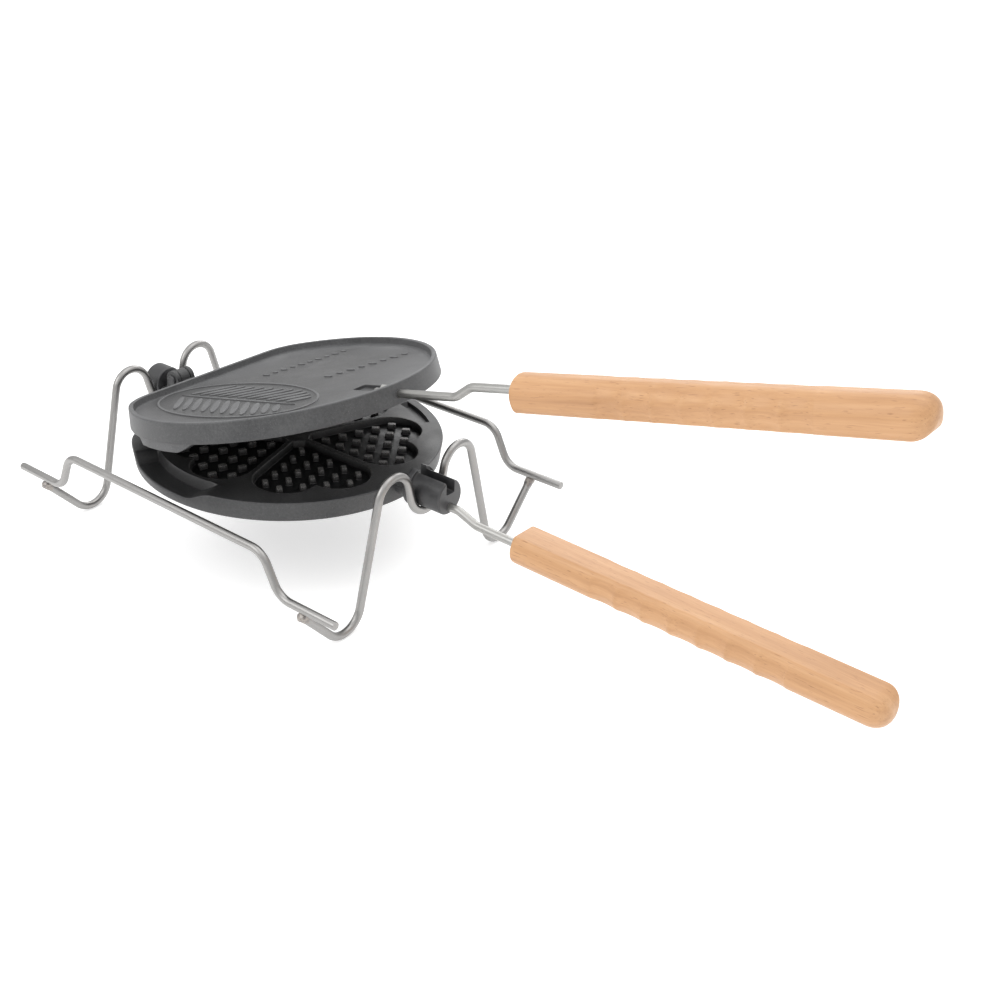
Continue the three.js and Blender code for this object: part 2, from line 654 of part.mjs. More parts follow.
// Wooden grip along +X, its flat at z = 0 facing the other grip, with finger scallops in both sides.
function grip() {
  const reach = SCALLOP_PITCH / 2;
  const first = SCALLOP_FIRST - reach;
  const last = SCALLOP_FIRST + (SCALLOPS - 1) * SCALLOP_PITCH + reach;
  const halfWidth = (x) => {
    if (x < first || x > last) return GRIP_HALF;
    const phase = (2 * Math.PI * (x - SCALLOP_FIRST)) / SCALLOP_PITCH;
    return GRIP_HALF - (SCALLOP_DEPTH * (1 + Math.cos(phase))) / 2;
  };
  const rings = [gripRing(0, GRIP_START_SCALE, GRIP_HALF), gripRing(GRIP_START, 1, GRIP_HALF)];
  for (let x = first; x <= last + 1e-6; x += reach / 2) rings.push(gripRing(x, 1, halfWidth(x)));
  const tipStart = GRIP_LENGTH - GRIP_TIP;
  for (const part of [0, 0.35, 0.65, 0.87, 0.995]) {
    const scale = (1 - part ** GRIP_TIP_POWER) ** (1 / GRIP_TIP_POWER);
    rings.push(gripRing(tipStart + GRIP_TIP * part, scale, GRIP_HALF));
  }
  const bore = rod(-1, ROD_IN_GRIP + 2 * GAP, ROD_R + GAP, BORE_SIDES, 0, -GRIP_AXIS);
  return solid(skin(rings)).subtract(bore);
}

// ---- assembly -----------------------------------------------------------------------------------

function addPiece(parent, name, shape, material) {
  const geometry = shape.isBufferGeometry ? shape : geometryOf(shape);
  const mesh = new THREE.Mesh(geometry, material);
  mesh.name = name;
  parent.add(mesh);
  return mesh;
}

const assembly = new THREE.Group();

for (const [end, x] of [['front', FRAME_X], ['rear', -FRAME_X]]) {
  addPiece(assembly, `${end}_end_frame`, endFrame(x), satinSteel);
}
for (const [where, side] of [['near', -1], ['far', 1]]) {
  addPiece(assembly, `${where}_rail`, rail(side * RAIL_Y), satinSteel);
  addPiece(assembly, `front_${where}_weld`, weldBead(FRAME_X, side), satinSteel);
  addPiece(assembly, `rear_${where}_weld`, weldBead(-FRAME_X, side), satinSteel);
}

// the iron, rolled a little about the turning axis
const iron = new THREE.Group();
iron.position.z = AXIS_Z;
iron.rotation.x = IRON_TILT;
assembly.add(iron);

// lower half, its parting face on the turning axis
const lowerHalf = new THREE.Group();
iron.add(lowerHalf);
addPiece(lowerHalf, 'lower_plate', lowerPlate(), castIron);
addPiece(lowerHalf, 'front_trunnion_bush', frontBush(), blackIron);
addPiece(lowerHalf, 'rear_trunnion_disc', rearDisc(), blackIron);
addPiece(lowerHalf, 'rear_trunnion_screw', rearScrew(), zincSteel);
addPiece(lowerHalf, 'hinge_pin', hingePin(), blackIron);
addPiece(lowerHalf, 'lower_rod', handleRod(LOWER_GRIP), satinSteel);
addPiece(lowerHalf, 'lower_rod_nut', rodNut(), zincSteel);
const lowerGrip = addPiece(lowerHalf, 'lower_grip', grip(), beech);
lowerGrip.position.set(LOWER_GRIP.x, 0, -LOWER_GRIP.flat);
lowerGrip.rotation.y = LOWER_GRIP.pitch;

// upper half: the same pieces turned over, swung open about the hinge
const hinge = new THREE.Group();
hinge.position.set(HINGE_X, 0, HINGE_Z);
hinge.rotation.y = -OPEN_ANGLE;
iron.add(hinge);
const upperHalf = new THREE.Group();
upperHalf.position.set(-HINGE_X, 0, -HINGE_Z);
upperHalf.rotation.x = Math.PI;
hinge.add(upperHalf);
addPiece(upperHalf, 'upper_plate', upperPlate(), castIron);
addPiece(upperHalf, 'upper_rod', handleRod(UPPER_GRIP), satinSteel);
addPiece(upperHalf, 'upper_rod_nut', rodNut(), zincSteel);
const upperGrip = addPiece(upperHalf, 'upper_grip', grip(), beech);
upperGrip.position.set(UPPER_GRIP.x, 0, -UPPER_GRIP.flat);

// the origin is the centre of the plan box, at floor level
assembly.updateMatrixWorld(true);
const extent = new THREE.Box3().setFromObject(assembly, true);
const middle = extent.getCenter(new THREE.Vector3());
assembly.position.set(-middle.x, -middle.y, -extent.min.z);

export default assembly;
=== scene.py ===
import json
from math import acos, asin, atan2, ceil, cos, degrees, hypot, pi, radians, sin, sqrt, tan

import bmesh
import bpy
from mathutils import Matrix, Vector
from mathutils.geometry import delaunay_2d_cdt


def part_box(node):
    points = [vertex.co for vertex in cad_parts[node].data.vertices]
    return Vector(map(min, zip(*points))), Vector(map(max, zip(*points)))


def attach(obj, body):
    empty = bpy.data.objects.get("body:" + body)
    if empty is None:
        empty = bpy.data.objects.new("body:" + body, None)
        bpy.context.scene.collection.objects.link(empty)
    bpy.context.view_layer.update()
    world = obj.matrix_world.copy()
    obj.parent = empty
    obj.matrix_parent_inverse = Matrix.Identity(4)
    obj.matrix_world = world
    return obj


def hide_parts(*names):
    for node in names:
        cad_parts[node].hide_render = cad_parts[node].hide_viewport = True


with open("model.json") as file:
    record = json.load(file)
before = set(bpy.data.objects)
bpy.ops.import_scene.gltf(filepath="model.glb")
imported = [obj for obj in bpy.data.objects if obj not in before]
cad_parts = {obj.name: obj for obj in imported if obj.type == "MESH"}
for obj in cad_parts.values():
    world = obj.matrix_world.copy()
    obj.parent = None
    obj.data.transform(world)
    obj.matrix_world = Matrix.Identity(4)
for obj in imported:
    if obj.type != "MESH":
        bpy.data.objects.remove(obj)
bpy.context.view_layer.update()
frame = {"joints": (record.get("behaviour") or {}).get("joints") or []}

MM = 0.001

# ---- driving dimensions, millimetres, as in the CAD source

WIRE_R = 2.7
FRAME_X = 125.0
FOOT_Y, FOOT_BEND_R = 78.3, 15.8
HUMP_Y, HUMP_Z, HUMP_R = 31.0, 77.5, 14.3
RAIL_Y, RAIL_LOW_Z, RAIL_HIGH_Z = 112.0, 37.8, 64.8
RAIL_KINK_OUT_X, RAIL_KINK_IN_X = 105.9, 92.9
RAIL_BEND_R, RAIL_END_X = 14.0, 151.8
AXIS_Z = 72.7
NOTCH_R = 11.5 + 0.4 + WIRE_R

PLATE_X, PLATE_R, PLATE_DEPTH, PLATE_DRAFT = 2.5, 105.0, 13.5, 1.7
CHORD_X, CORNER_R = 78.9, 35.0
FACE_Z, BACK_Z = -0.15, -9.0
HEARTS, HEARTS_X, HEART_DEPTH, RIB_HALF = 5, 10.5, 5.0, 1.9
HEART_HALF = pi / HEARTS
CLEFT_U, LOBE_SPREAD, HEART_POINT_U = 74.7, 0.8, 9.0
LOBE_RISE = sqrt(1 - LOBE_SPREAD**2)
LOBE_R = (CLEFT_U * sin(HEART_HALF) - RIB_HALF) / (
    1 + LOBE_RISE * sin(HEART_HALF) + LOBE_SPREAD * cos(HEART_HALF)
)
LOBE_U, LOBE_V = CLEFT_U - LOBE_RISE * LOBE_R, LOBE_SPREAD * LOBE_R
STUD_LONG, STUD_WIDE, STUD_TOP_Z = 6.0, 4.0, -1.4
STUD_PITCH_U, STUD_PITCH_V, STUD_FIRST_U, STUD_ROWS, STUD_MARGIN = 10.5, 15.0, 19.5, 6, 1.4

TONGUE_FOOT, TONGUE_CREST = (76.0, 113.5), (87.0, 110.0)       # degrees about the plate's centre
TONGUE_TOP, TONGUE_IN, TONGUE_OUT = 6.2, 92.0, 103.4
DIP_BRIM, DIP_FLOOR = (-119.0, -72.0), (-115.5, -84.0)
DIP_DEPTH, DIP_IN = 7.4, 88.8
RECESS_BRIM = (53.0, 75.5)
RECESS_IN, RECESS_OUT, RECESS_DEPTH = 91.5, 98.0, 3.0

HINGE_X, HINGE_Z = -107.9, 8.0
HINGE_PIN_R, PIN_HEAD_R, PIN_HEAD_L = 2.5, 3.7, 1.5
KNUCKLE_R, KNUCKLE_HALF, KNUCKLE_ARM = 6.2, 4.0, (-7.2, -2.6)
EAR_IN, EAR_OUT, EAR_R, EAR_FOOT, EAR_FOOT_Z = 4.4, 8.0, 6.4, (-8, 11), -6
ARM_HALF, ARM_DEPTH, ARM_BITE = 9.2, 9.4, 2.5
BUSH_X0, BUSH_SHOULDER_X, BUSH_X1, JOURNAL_R, COLLAR_R = 116.6, 121.2, 144.2, 11.5, 13.5
GROOVE_HALF, GROOVE_Z, NECK_R = 3.9, 2.6, 9.6
DISC_X0, DISC_X1 = -135.5, -121.0
SCREW_Z, SCREW_R, SCREW_HEAD_R, SCREW_HEAD_L, SCREW_LENGTH = -5.0, 2.5, 4.6, 3.4, 26.0

ROD_R, ROD_Z, ROD_X0, ROD_BEND_R = 2.75, 6.5, 87.0, 12.0
ROD_BEND_1_X, ROD_BEND_2_X, ROD_IN_GRIP = 149.0, 168.0, 60.0
NUT_FLATS, NUT_THICK = 9.0, 4.4
POCKET_X0, POCKET_NUT_X0, POCKET_X1, POCKET_HALF = 72.0, 85.0, 97.4, 5.6
POCKET_Z, POCKET_NUT_Z = -7.2, -1.7
GRIP_LENGTH, GRIP_FLAT_HALF, GRIP_HALF, GRIP_DEPTH, GRIP_AXIS = 233.5, 9.6, 12.8, 20.9, 10.8
GRIP_TIP, GRIP_TIP_POWER, GRIP_EDGE_R = 11.0, 2.25, 1.1
SCALLOPS, SCALLOP_FIRST, SCALLOP_PITCH, SCALLOP_DEPTH = 7, 65.0, 17.6, 1.8
LOWER_GRIP, UPPER_GRIP = (200.3, 2.1, radians(1.7)), (201.4, 2.5, 0.0)     # front end, flat, slope

# ---- places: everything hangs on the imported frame


def joint(name):
    return next(j for j in frame["joints"] if j["name"] == name)


def at_mm(x, y, z):
    return Matrix.Translation(Vector((x, y, z)) * MM)


end_boxes = [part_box(node) for node in ("front_end_frame", "rear_end_frame")]
mid_x = sum(low.x + high.x for low, high in end_boxes) / 4
axis_z = joint("iron_roll")["pos_m"][2]
open_angle = radians(-joint("plates_open")["range_deg"][0])
swing = joint("plates_open")["axis"]
ROLLED = Matrix.Rotation(atan2(-swing[2], -swing[1]), 4, "X")
STAND = Matrix.Translation((mid_x, 0, axis_z)) @ at_mm(0, 0, -AXIS_Z)
LOWER = Matrix.Translation((mid_x, 0, axis_z)) @ ROLLED
UPPER = (
    Matrix.Translation(joint("plates_open")["pos_m"])
    @ ROLLED
    @ Matrix.Rotation(-open_angle, 4, "Y")
    @ at_mm(-HINGE_X, 0, -HINGE_Z)
    @ Matrix.Rotation(pi, 4, "X")
)

# ---- material nodes


class Nodes:
    """A material built node by node. A socket given as a node output is linked, anything else is its value."""

    def __init__(self, name):
        self.material = bpy.data.materials.new(name)
        self.material.use_nodes = True
        self.tree = self.material.node_tree
        self.tree.nodes.clear()
        self.output = self.add("ShaderNodeOutputMaterial")

    def add(self, kind, settings=None, **sockets):
        node = self.tree.nodes.new(kind)
        for key, value in (settings or {}).items():
            setattr(node, key, value)
        for key, value in sockets.items():
            name = key.replace("_", " ")
            socket = node.inputs[int(key[1:])] if key[0] == "i" and key[1:].isdigit() else node.inputs[name]
            if isinstance(value, bpy.types.NodeSocket):
                self.tree.links.new(value, socket)
            else:
                socket.default_value = value
        return node

    def noise(self, vector, scale, detail=4.0, rough=0.55):
        return self.add(
            "ShaderNodeTexNoise", Vector=vector, Scale=scale, Detail=detail, Roughness=rough
        ).outputs["Fac"]

    def stretched(self, vector, scale):
        return self.add("ShaderNodeMapping", Vector=vector, Scale=scale).outputs["Vector"]

    def ramp(self, fac, stops):
        node = self.add("ShaderNodeValToRGB", Fac=fac)
        elements = node.color_ramp.elements
        while len(elements) < len(stops):
            elements.new(0.5)
        for element, (position, value) in zip(elements, stops):
            element.position = position
            colour = value if isinstance(value, tuple) else (value, value, value)
            element.color = (*colour, 1)
        return node.outputs["Color"]

    def mix(self, fac, a, b):
        node = self.add("ShaderNodeMix", {"data_type": "RGBA"})
        for socket, value in ((node.inputs[0], fac), (node.inputs[6], a), (node.inputs[7], b)):
            if isinstance(value, bpy.types.NodeSocket):
                self.tree.links.new(value, socket)
            elif isinstance(value, tuple):
                socket.default_value = (*value, 1)
            else:
                socket.default_value = value
        return node.outputs[2]

    def bump(self, height, strength, distance):
        node = self.add("ShaderNodeBump", Height=height, Strength=strength, Distance=distance)
        return node.outputs["Normal"]

    def shade(self, **sockets):
        shader = self.add("ShaderNodeBsdfPrincipled", **sockets)
        self.tree.links.new(shader.outputs["BSDF"], self.output.inputs["Surface"])
        return self.material

    def place(self):
        return self.add("ShaderNodeTexCoord").outputs["Object"]

    def attribute(self, name, output="Fac"):
        return self.add("ShaderNodeAttribute", {"attribute_name": name}).outputs[output]


def drawn_steel(name, base, rough):
    """Drawn stainless wire: fine streaks along it, partly drawing marks and partly painted reflection and
    highlight, cloudy gloss, faint scratches.
    """
    n = Nodes(name)
    along = n.attribute("along", "Vector")
    streak = n.noise(n.stretched(along, (1.6, 1.6, 18)), 2.2, 6, 0.7)
    fine = n.noise(n.stretched(along, (5, 5, 90)), 2.0, 3, 0.6)
    cloud = n.noise(n.place(), 60, 3)
    streaks_and_reflection = n.mix(0.45, streak, fine)
    # the dark and pale ends of the streaks: painted reflection and highlight as well as drawing marks
    dark, light = tuple(c * 0.62 for c in base), tuple(min(1, c * 1.22) for c in base)
    colour = n.mix(n.ramp(streaks_and_reflection, [(0.3, 0.0), (0.7, 1.0)]), dark, light)
    gloss = n.ramp(n.mix(0.5, cloud, streaks_and_reflection), [(0.3, rough - 0.08), (0.7, rough + 0.12)])
    return n.shade(
        Base_Color=colour, Metallic=1.0, Roughness=gloss, Normal=n.bump(streaks_and_reflection, 0.35, 0.0001)
    )


def weld_steel(name):
    """Weld metal: heat tints and close ripples."""
    n = Nodes(name)
    place = n.place()
    heat = n.noise(place, 420, 3)
    colour = n.ramp(heat, [
        (0.3, (0.20, 0.19, 0.20)), (0.55, (0.36, 0.33, 0.30)), (0.75, (0.44, 0.43, 0.42))])
    ripple = n.noise(n.stretched(place, (1, 1, 2.2)), 700, 2)
    return n.shade(Base_Color=colour, Metallic=1.0, Roughness=n.ramp(heat, [(0.2, 0.34), (0.8, 0.55)]),
                   Normal=n.bump(ripple, 0.5, 0.0004))


def cast_iron(name):
    """Grey sand-cast iron; one vertex attribute takes it to the black, oil-darkened cooking side and also
    paints shade into corners, recesses and the face under the upper plate.
    """
    n = Nodes(name)
    place = n.place()
    season = n.attribute("season")
    worn = n.attribute("worn")
    grain = n.noise(place, 1500, 3, 0.6)
    sand = n.noise(place, 620, 5, 0.65)
    patch = n.noise(place, 45, 4)
    skin = n.ramp(n.mix(0.5, sand, patch), [
        (0.3, (0.060, 0.061, 0.064)), (0.5, (0.098, 0.099, 0.102)), (0.7, (0.150, 0.151, 0.153))])
    speck = n.ramp(grain, [(0.60, 0.0), (0.72, 1.0)])
    skin = n.mix(speck, skin, (0.21, 0.21, 0.21))
    # the near-black end: oil on the cooking side, and painted shade in corners, recesses and under the upper
    # plate
    oil_and_shade_black = n.ramp(sand, [(0.3, (0.0045, 0.0045, 0.005)), (0.7, (0.012, 0.012, 0.012))])
    base = n.mix(season, skin, oil_and_shade_black)
    # paler, partly metallic stud tops and rib edges: partly wear, partly painted highlight
    base = n.mix(worn, base, n.ramp(grain, [(0.35, (0.05, 0.05, 0.05)), (0.65, (0.42, 0.41, 0.40))]))
    dry = n.ramp(n.mix(0.4, sand, grain), [(0.3, 0.46), (0.7, 0.66)])
    wet = n.ramp(patch, [(0.3, 0.30), (0.7, 0.46)])
    rough = n.mix(season, dry, wet)
    normal = n.bump(n.mix(0.45, sand, grain), 0.32, 0.0005)
    metallic = n.ramp(worn, [(0.0, 0.0), (1.0, 0.6)])
    return n.shade(Base_Color=base, Metallic=metallic, Roughness=rough, IOR=1.5, Normal=normal)


def black_iron(name):
    """Smooth blackened iron, rubbed paler along its edges."""
    n = Nodes(name)
    place = n.place()
    sand = n.noise(place, 900, 4)
    rub = n.noise(place, 130, 3)
    edge = n.add("ShaderNodeNewGeometry").outputs["Pointiness"]
    worn = n.ramp(edge, [(0.52, 0.0), (0.60, 0.7)])
    black = n.ramp(rub, [(0.3, (0.010, 0.010, 0.011)), (0.7, (0.026, 0.026, 0.028))])
    base = n.mix(worn, black, (0.085, 0.085, 0.088))
    return n.shade(Base_Color=base, Metallic=0.0, Roughness=n.ramp(rub, [(0.3, 0.34), (0.7, 0.5)]),
                   IOR=1.6, Normal=n.bump(sand, 0.18, 0.0003))


def plated(name):
    """Zinc-plated steel: cloudy, with fine turning marks."""
    n = Nodes(name)
    place = n.place()
    cloud = n.noise(place, 380, 4)
    turning = n.noise(n.stretched(place, (8, 1, 1)), 260, 3)
    colour = n.ramp(cloud, [(0.3, (0.38, 0.38, 0.37)), (0.7, (0.56, 0.56, 0.54))])
    return n.shade(Base_Color=colour, Metallic=1.0, Roughness=n.ramp(cloud, [(0.3, 0.30), (0.7, 0.48)]),
                   Normal=n.bump(turning, 0.2, 0.0002))


GRAIN_WANDER = 0.006     # metres the grain strays sideways


def beech_wood(name):
    """Steamed, clear-lacquered beech: long soft grain and short dark flecks."""
    n = Nodes(name)
    place = n.place()
    bend = n.noise(n.stretched(place, (6, 40, 40)), 1.0, 2)
    shift = n.add("ShaderNodeVectorMath", {"operation": "SCALE"}, i0=bend, Scale=GRAIN_WANDER)
    warped = n.add("ShaderNodeVectorMath", {"operation": "ADD"}, i0=place, i1=shift.outputs["Vector"])
    grain_place = warped.outputs["Vector"]
    rings = n.noise(n.stretched(grain_place, (7, 150, 210)), 1.0, 4, 0.6)
    fibre = n.noise(n.stretched(grain_place, (45, 900, 900)), 1.0, 4, 0.65)
    fleck = n.noise(n.stretched(place, (170, 1300, 1500)), 1.0, 1, 0.4)
    patch = n.noise(n.stretched(place, (12, 30, 30)), 1.0, 3)
    colour = n.ramp(n.mix(0.35, rings, patch), [
        (0.30, (0.43, 0.222, 0.100)), (0.50, (0.56, 0.308, 0.147)), (0.72, (0.66, 0.392, 0.205))])
    colour = n.mix(n.ramp(fibre, [(0.35, 0.0), (0.75, 0.32)]), colour, (0.39, 0.19, 0.08))
    colour = n.mix(n.ramp(fleck, [(0.66, 0.0), (0.76, 0.55)]), colour, (0.28, 0.125, 0.05))
    rough = n.ramp(n.mix(0.5, fibre, patch), [(0.3, 0.40), (0.7, 0.54)])
    height = n.mix(0.4, fibre, rings)
    return n.shade(Base_Color=colour, Metallic=0.0, Roughness=rough, IOR=1.46, Coat_Weight=0.18,
                   Coat_Roughness=0.32, Normal=n.bump(height, 0.12, 0.0003))


def floor_card(name):
    """The studio's white card; a little light of its own keeps it white round the object."""
    n = Nodes(name)
    soft = n.noise(n.place(), 3, 2)
    return n.shade(Base_Color=n.ramp(soft, [(0.3, (0.74, 0.74, 0.74)), (0.7, (0.76, 0.76, 0.76))]),
                   Roughness=0.9, Metallic=0.0, Specular_IOR_Level=0.1,
                   Emission_Color=(1, 1, 1, 1), Emission_Strength=0.5)


STEEL = drawn_steel("stand_wire_steel", (0.36, 0.353, 0.345), 0.34)
ROD_STEEL = drawn_steel("rod_steel", (0.42, 0.415, 0.40), 0.32)
WELD = weld_steel("weld_steel")
CAST = cast_iron("cast_iron")
BLACK = black_iron("black_iron")
PLATED = plated("plated_steel")
BEECH = beech_wood("beech")

# ---- shells: rings of points, the strips between them and filled faces


class Shell:
    """Vertices in millimetres, each with its paint values (blackness with painted shade, wear with painted
    highlight, place along a wire), and faces.
    """

    def __init__(self):
        self.points, self.faces, self.season, self.worn, self.along = [], [], [], [], []

    def ring(self, points, season=0.0, worn=0.0, along=None):
        first = len(self.points)
        self.points += [Vector(p) for p in points]
        count = len(self.points) - first
        self.season += [season] * count
        self.worn += [worn] * count
        self.along += along or [(0, 0, 0)] * count
        return list(range(first, first + count))

    def strip(self, a, b, closed=True):
        last = len(a) if closed else len(a) - 1
        for i in range(last):
            j = (i + 1) % len(a)
            self.faces.append((a[i], a[j], b[j], b[i]))

    def strips(self, rings, closed=True):
        for a, b in zip(rings, rings[1:]):
            self.strip(a, b, closed)

    def fan(self, ring, point):
        (middle,) = self.ring([point])
        for i, a in enumerate(ring):
            self.faces.append((a, ring[(i + 1) % len(ring)], middle))

    def caps(self, rings):
        """Closes both ends of a run of rings."""
        self.faces.append(tuple(reversed(rings[0])))
        self.faces.append(tuple(rings[-1]))

    def fill(self, loops, axes=(0, 1)):
        """Fills the face whose outer edge and holes are these loops, seen along the axis left out of axes."""
        ids = [i for loop in loops for i in loop]
        flat = [Vector((self.points[i][axes[0]], self.points[i][axes[1]])) for i in ids]
        edges, start = [], 0
        for loop in loops:
            edges += [(start + i, start + (i + 1) % len(loop)) for i in range(len(loop))]
            start += len(loop)
        coords, _, faces, origin, _, _ = delaunay_2d_cdt(flat, edges, [], 0, 1e-6)
        edges_flat = [(flat[a], flat[b]) for a, b in edges]
        for face in faces:
            x = sum(coords[i].x for i in face) / len(face)
            y = sum(coords[i].y for i in face) / len(face)
            odd = False
            for a, b in edges_flat:
                if (a.y > y) != (b.y > y) and x < a.x + (y - a.y) * (b.x - a.x) / (b.y - a.y):
                    odd = not odd
            if odd:
                self.faces.append(tuple(ids[origin[i][0]] for i in face))

    def add(self, other, place):
        base = len(self.points)
        self.points += [place @ p for p in other.points]
        self.season += other.season
        self.worn += other.worn
        self.along += other.along
        self.faces += [tuple(i + base for i in face) for face in other.faces]
        return base


def make(name, shells, place, material, body, node, sharp=38, weighted=True):
    """One object from the shells, in the row frame, that rides on its body and stands for its CAD node."""
    bm = bmesh.new()
    season = bm.verts.layers.float.new("season")
    worn = bm.verts.layers.float.new("worn")
    along = bm.verts.layers.float_vector.new("along")
    for shell in shells if isinstance(shells, list) else [shells]:
        part = bmesh.new()
        layers = [part.verts.layers.float.new("season"), part.verts.layers.float.new("worn"),
                  part.verts.layers.float_vector.new("along")]
        verts = []
        for p, *values in zip(shell.points, shell.season, shell.worn, shell.along):
            vert = part.verts.new(p * MM)
            for layer, value in zip(layers, values):
                vert[layer] = value
            verts.append(vert)
        for face in shell.faces:
            if len(set(face)) >= 3:
                try:
                    part.faces.new([verts[i] for i in face])
                except ValueError:
                    pass
        bmesh.ops.remove_doubles(part, verts=part.verts, dist=2e-6)
        bmesh.ops.dissolve_degenerate(part, edges=part.edges, dist=1e-7)
        bmesh.ops.recalc_face_normals(part, faces=part.faces)
        open_edges = sum(1 for e in part.edges if not e.is_manifold)
        if open_edges:
            print(f"{name}: {open_edges} open edges")
        piece = bpy.data.meshes.new("part")
        part.to_mesh(piece)
        part.free()
        bm.from_mesh(piece)
        bpy.data.meshes.remove(piece)
    mesh = bpy.data.meshes.new(name)
    bm.to_mesh(mesh)
    bm.free()
    mesh.materials.append(material)
    mesh.shade_smooth()
    mesh.set_sharp_from_angle(angle=radians(sharp))
    obj = bpy.data.objects.new(name, mesh)
    bpy.context.scene.collection.objects.link(obj)
    if weighted:
        modifier = obj.modifiers.new("weighted", "WEIGHTED_NORMAL")
        modifier.keep_sharp = True
        modifier.weight = 80
        graph = bpy.context.evaluated_depsgraph_get()
        done = bpy.data.meshes.new_from_object(obj.evaluated_get(graph), depsgraph=graph)
        obj.modifiers.clear()
        obj.data = done
        done.name = name
        bpy.data.meshes.remove(mesh)
    obj.matrix_world = place
    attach(obj, body)
    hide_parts(node)
    return obj


def smooth(t):
    """Eases from 0 to 1."""
    t = min(1.0, max(0.0, t))
    return t * t * (3 - 2 * t)


def arc(x, y, r, start, end, steps):
    return [(x + r * cos(start + (end - start) * i / steps), y + r * sin(start + (end - start) * i / steps))
            for i in range(steps + 1)]


def offset(outline, distance):
    """The closed outline moved sideways, to the left of its run for a positive distance."""
    moved = []
    for i, (x, y) in enumerate(outline):
        px, py = outline[i - 1]
        nx, ny = outline[(i + 1) % len(outline)]
        a, b = Vector((x - px, y - py)), Vector((nx - x, ny - y))
        a.normalize()
        b.normalize()
        side = Vector((-a.y - b.y, a.x + b.x))
        side.normalize()
        reach = distance / max(0.45, side.dot(Vector((-b.y, b.x))))
        moved.append((x + side.x * reach, y + side.y * reach))
    return moved


def rounded_box(a0, a1, b0, b1, r, steps=4):
    return (arc(a1 - r, b0 + r, r, -pi / 2, 0, steps) + arc(a1 - r, b1 - r, r, 0, pi / 2, steps)
            + arc(a0 + r, b1 - r, r, pi / 2, pi, steps) + arc(a0 + r, b0 + r, r, pi, 3 * pi / 2, steps))


def prism(outline, start, end, bevel, point):
    """A block of that outline from start to end, its edges rounded; point(a, b, along) places it."""
    shell = Shell()
    rings = []
    turn = 4
    for at, sign in ((start, 1), (end, -1)):
        side = []
        for i in range(turn + 1):
            angle = pi / 2 * i / turn
            inset = bevel * (1 - sin(angle))
            side.append((offset(outline, inset), at + sign * bevel * (1 - cos(angle))))
        rings += side if sign > 0 else side[::-1]
    rings = [shell.ring([point(a, b, along) for a, b in ring]) for ring, along in rings]
    shell.strips(rings)
    shell.caps(rings)
    return shell


def lathe(profile, sides, point):
    """A turned piece; the profile lists (along, radius), and a fan closes each end."""
    shell = Shell()
    rings = []
    for along, radius in profile:
        turn = [2 * pi * i / sides for i in range(sides)]
        rings.append(shell.ring([point(along, radius * cos(t), radius * sin(t)) for t in turn]))
    shell.strips(rings)
    shell.fan(rings[0], point(profile[0][0], 0, 0))
    shell.fan(rings[-1], point(profile[-1][0], 0, 0))
    return shell


def along_y(x, z):
    """For lathe: turned about a line along Y."""
    return lambda along, a, b: (x + a, along, z + b)


# ---- bent wire


def bent_line(start, pins, end, step=radians(5)):
    """Centre line of a wire bent round pins (at, r, turn), as (at, heading) stations."""
    stops = [(start, 0, 1), *pins, (end, 0, 1)]
    headings = []
    for (here, r0, t0), (there, r1, t1) in zip(stops, stops[1:]):
        da, db = there[0] - here[0], there[1] - here[1]
        headings.append(atan2(db, da) + asin((r0 * t0 - r1 * t1) / hypot(da, db)))
    stations = [(start, headings[0])]
    for i, (at, r, turn) in enumerate(pins):
        swing = ((headings[i + 1] - headings[i]) * turn) % (2 * pi)
        steps = max(3, ceil(swing / step))
        for k in range(steps + 1):
            heading = headings[i] + turn * swing * k / steps
            stations.append(((at[0] + r * turn * sin(heading), at[1] - r * turn * cos(heading)), heading))
    stations.append((end, headings[-1]))
    return stations


def tube(stations, place, across, radius, sides=28, chamfer=0.45):
    """Round wire along the stations; place puts a station in space and across is the bending plane's normal."""
    shell = Shell()
    across = Vector(across)
    rings, travelled, before = [], 0.0, None

    def ring(middle, ahead, r, length):
        up = across.cross(ahead).normalized()
        turn = [2 * pi * i / sides for i in range(sides)]
        points = [middle + r * (cos(t) * across + sin(t) * up) for t in turn]
        rings.append(shell.ring(points, along=[(WIRE_R * cos(t), WIRE_R * sin(t), length) for t in turn]))

    for i, (at, heading) in enumerate(stations):
        middle = Vector(place(*at))
        ahead = (Vector(place(at[0] + cos(heading), at[1] + sin(heading))) - middle).normalized()
        if before is not None:
            travelled += (middle - before).length
        before = middle
        if i == 0:
            for t in (0, 0.5, 1):
                ring(middle + ahead * chamfer * t**2, ahead, radius - chamfer * (1 - t) ** 2, travelled)
        elif i == len(stations) - 1:
            for t in (1, 0.5, 0):
                ring(middle - ahead * chamfer * t**2, ahead, radius - chamfer * (1 - t) ** 2, travelled)
        else:
            ring(middle, ahead, radius, travelled)
    shell.strips(rings)
    shell.caps(rings)
    return shell


FOOT_Z = WIRE_R + FOOT_BEND_R
FRAME_START_Z = RAIL_LOW_Z - 2 * WIRE_R - 0.3
INTO_WELD = 1.6          # the frame's wire runs on into its weld, up to the rail
WELD_SIDES = 40
WELD_PROFILE = [(-3.5, 0.9), (-3.3, 1.8), (-2.8, 2.6), (-2.0, 3.2), (-0.9, 3.35), (0.4, 3.15), (1.8, 2.9),
                (3.2, 2.76), (4.4, 2.6)]     # along the wire, radius


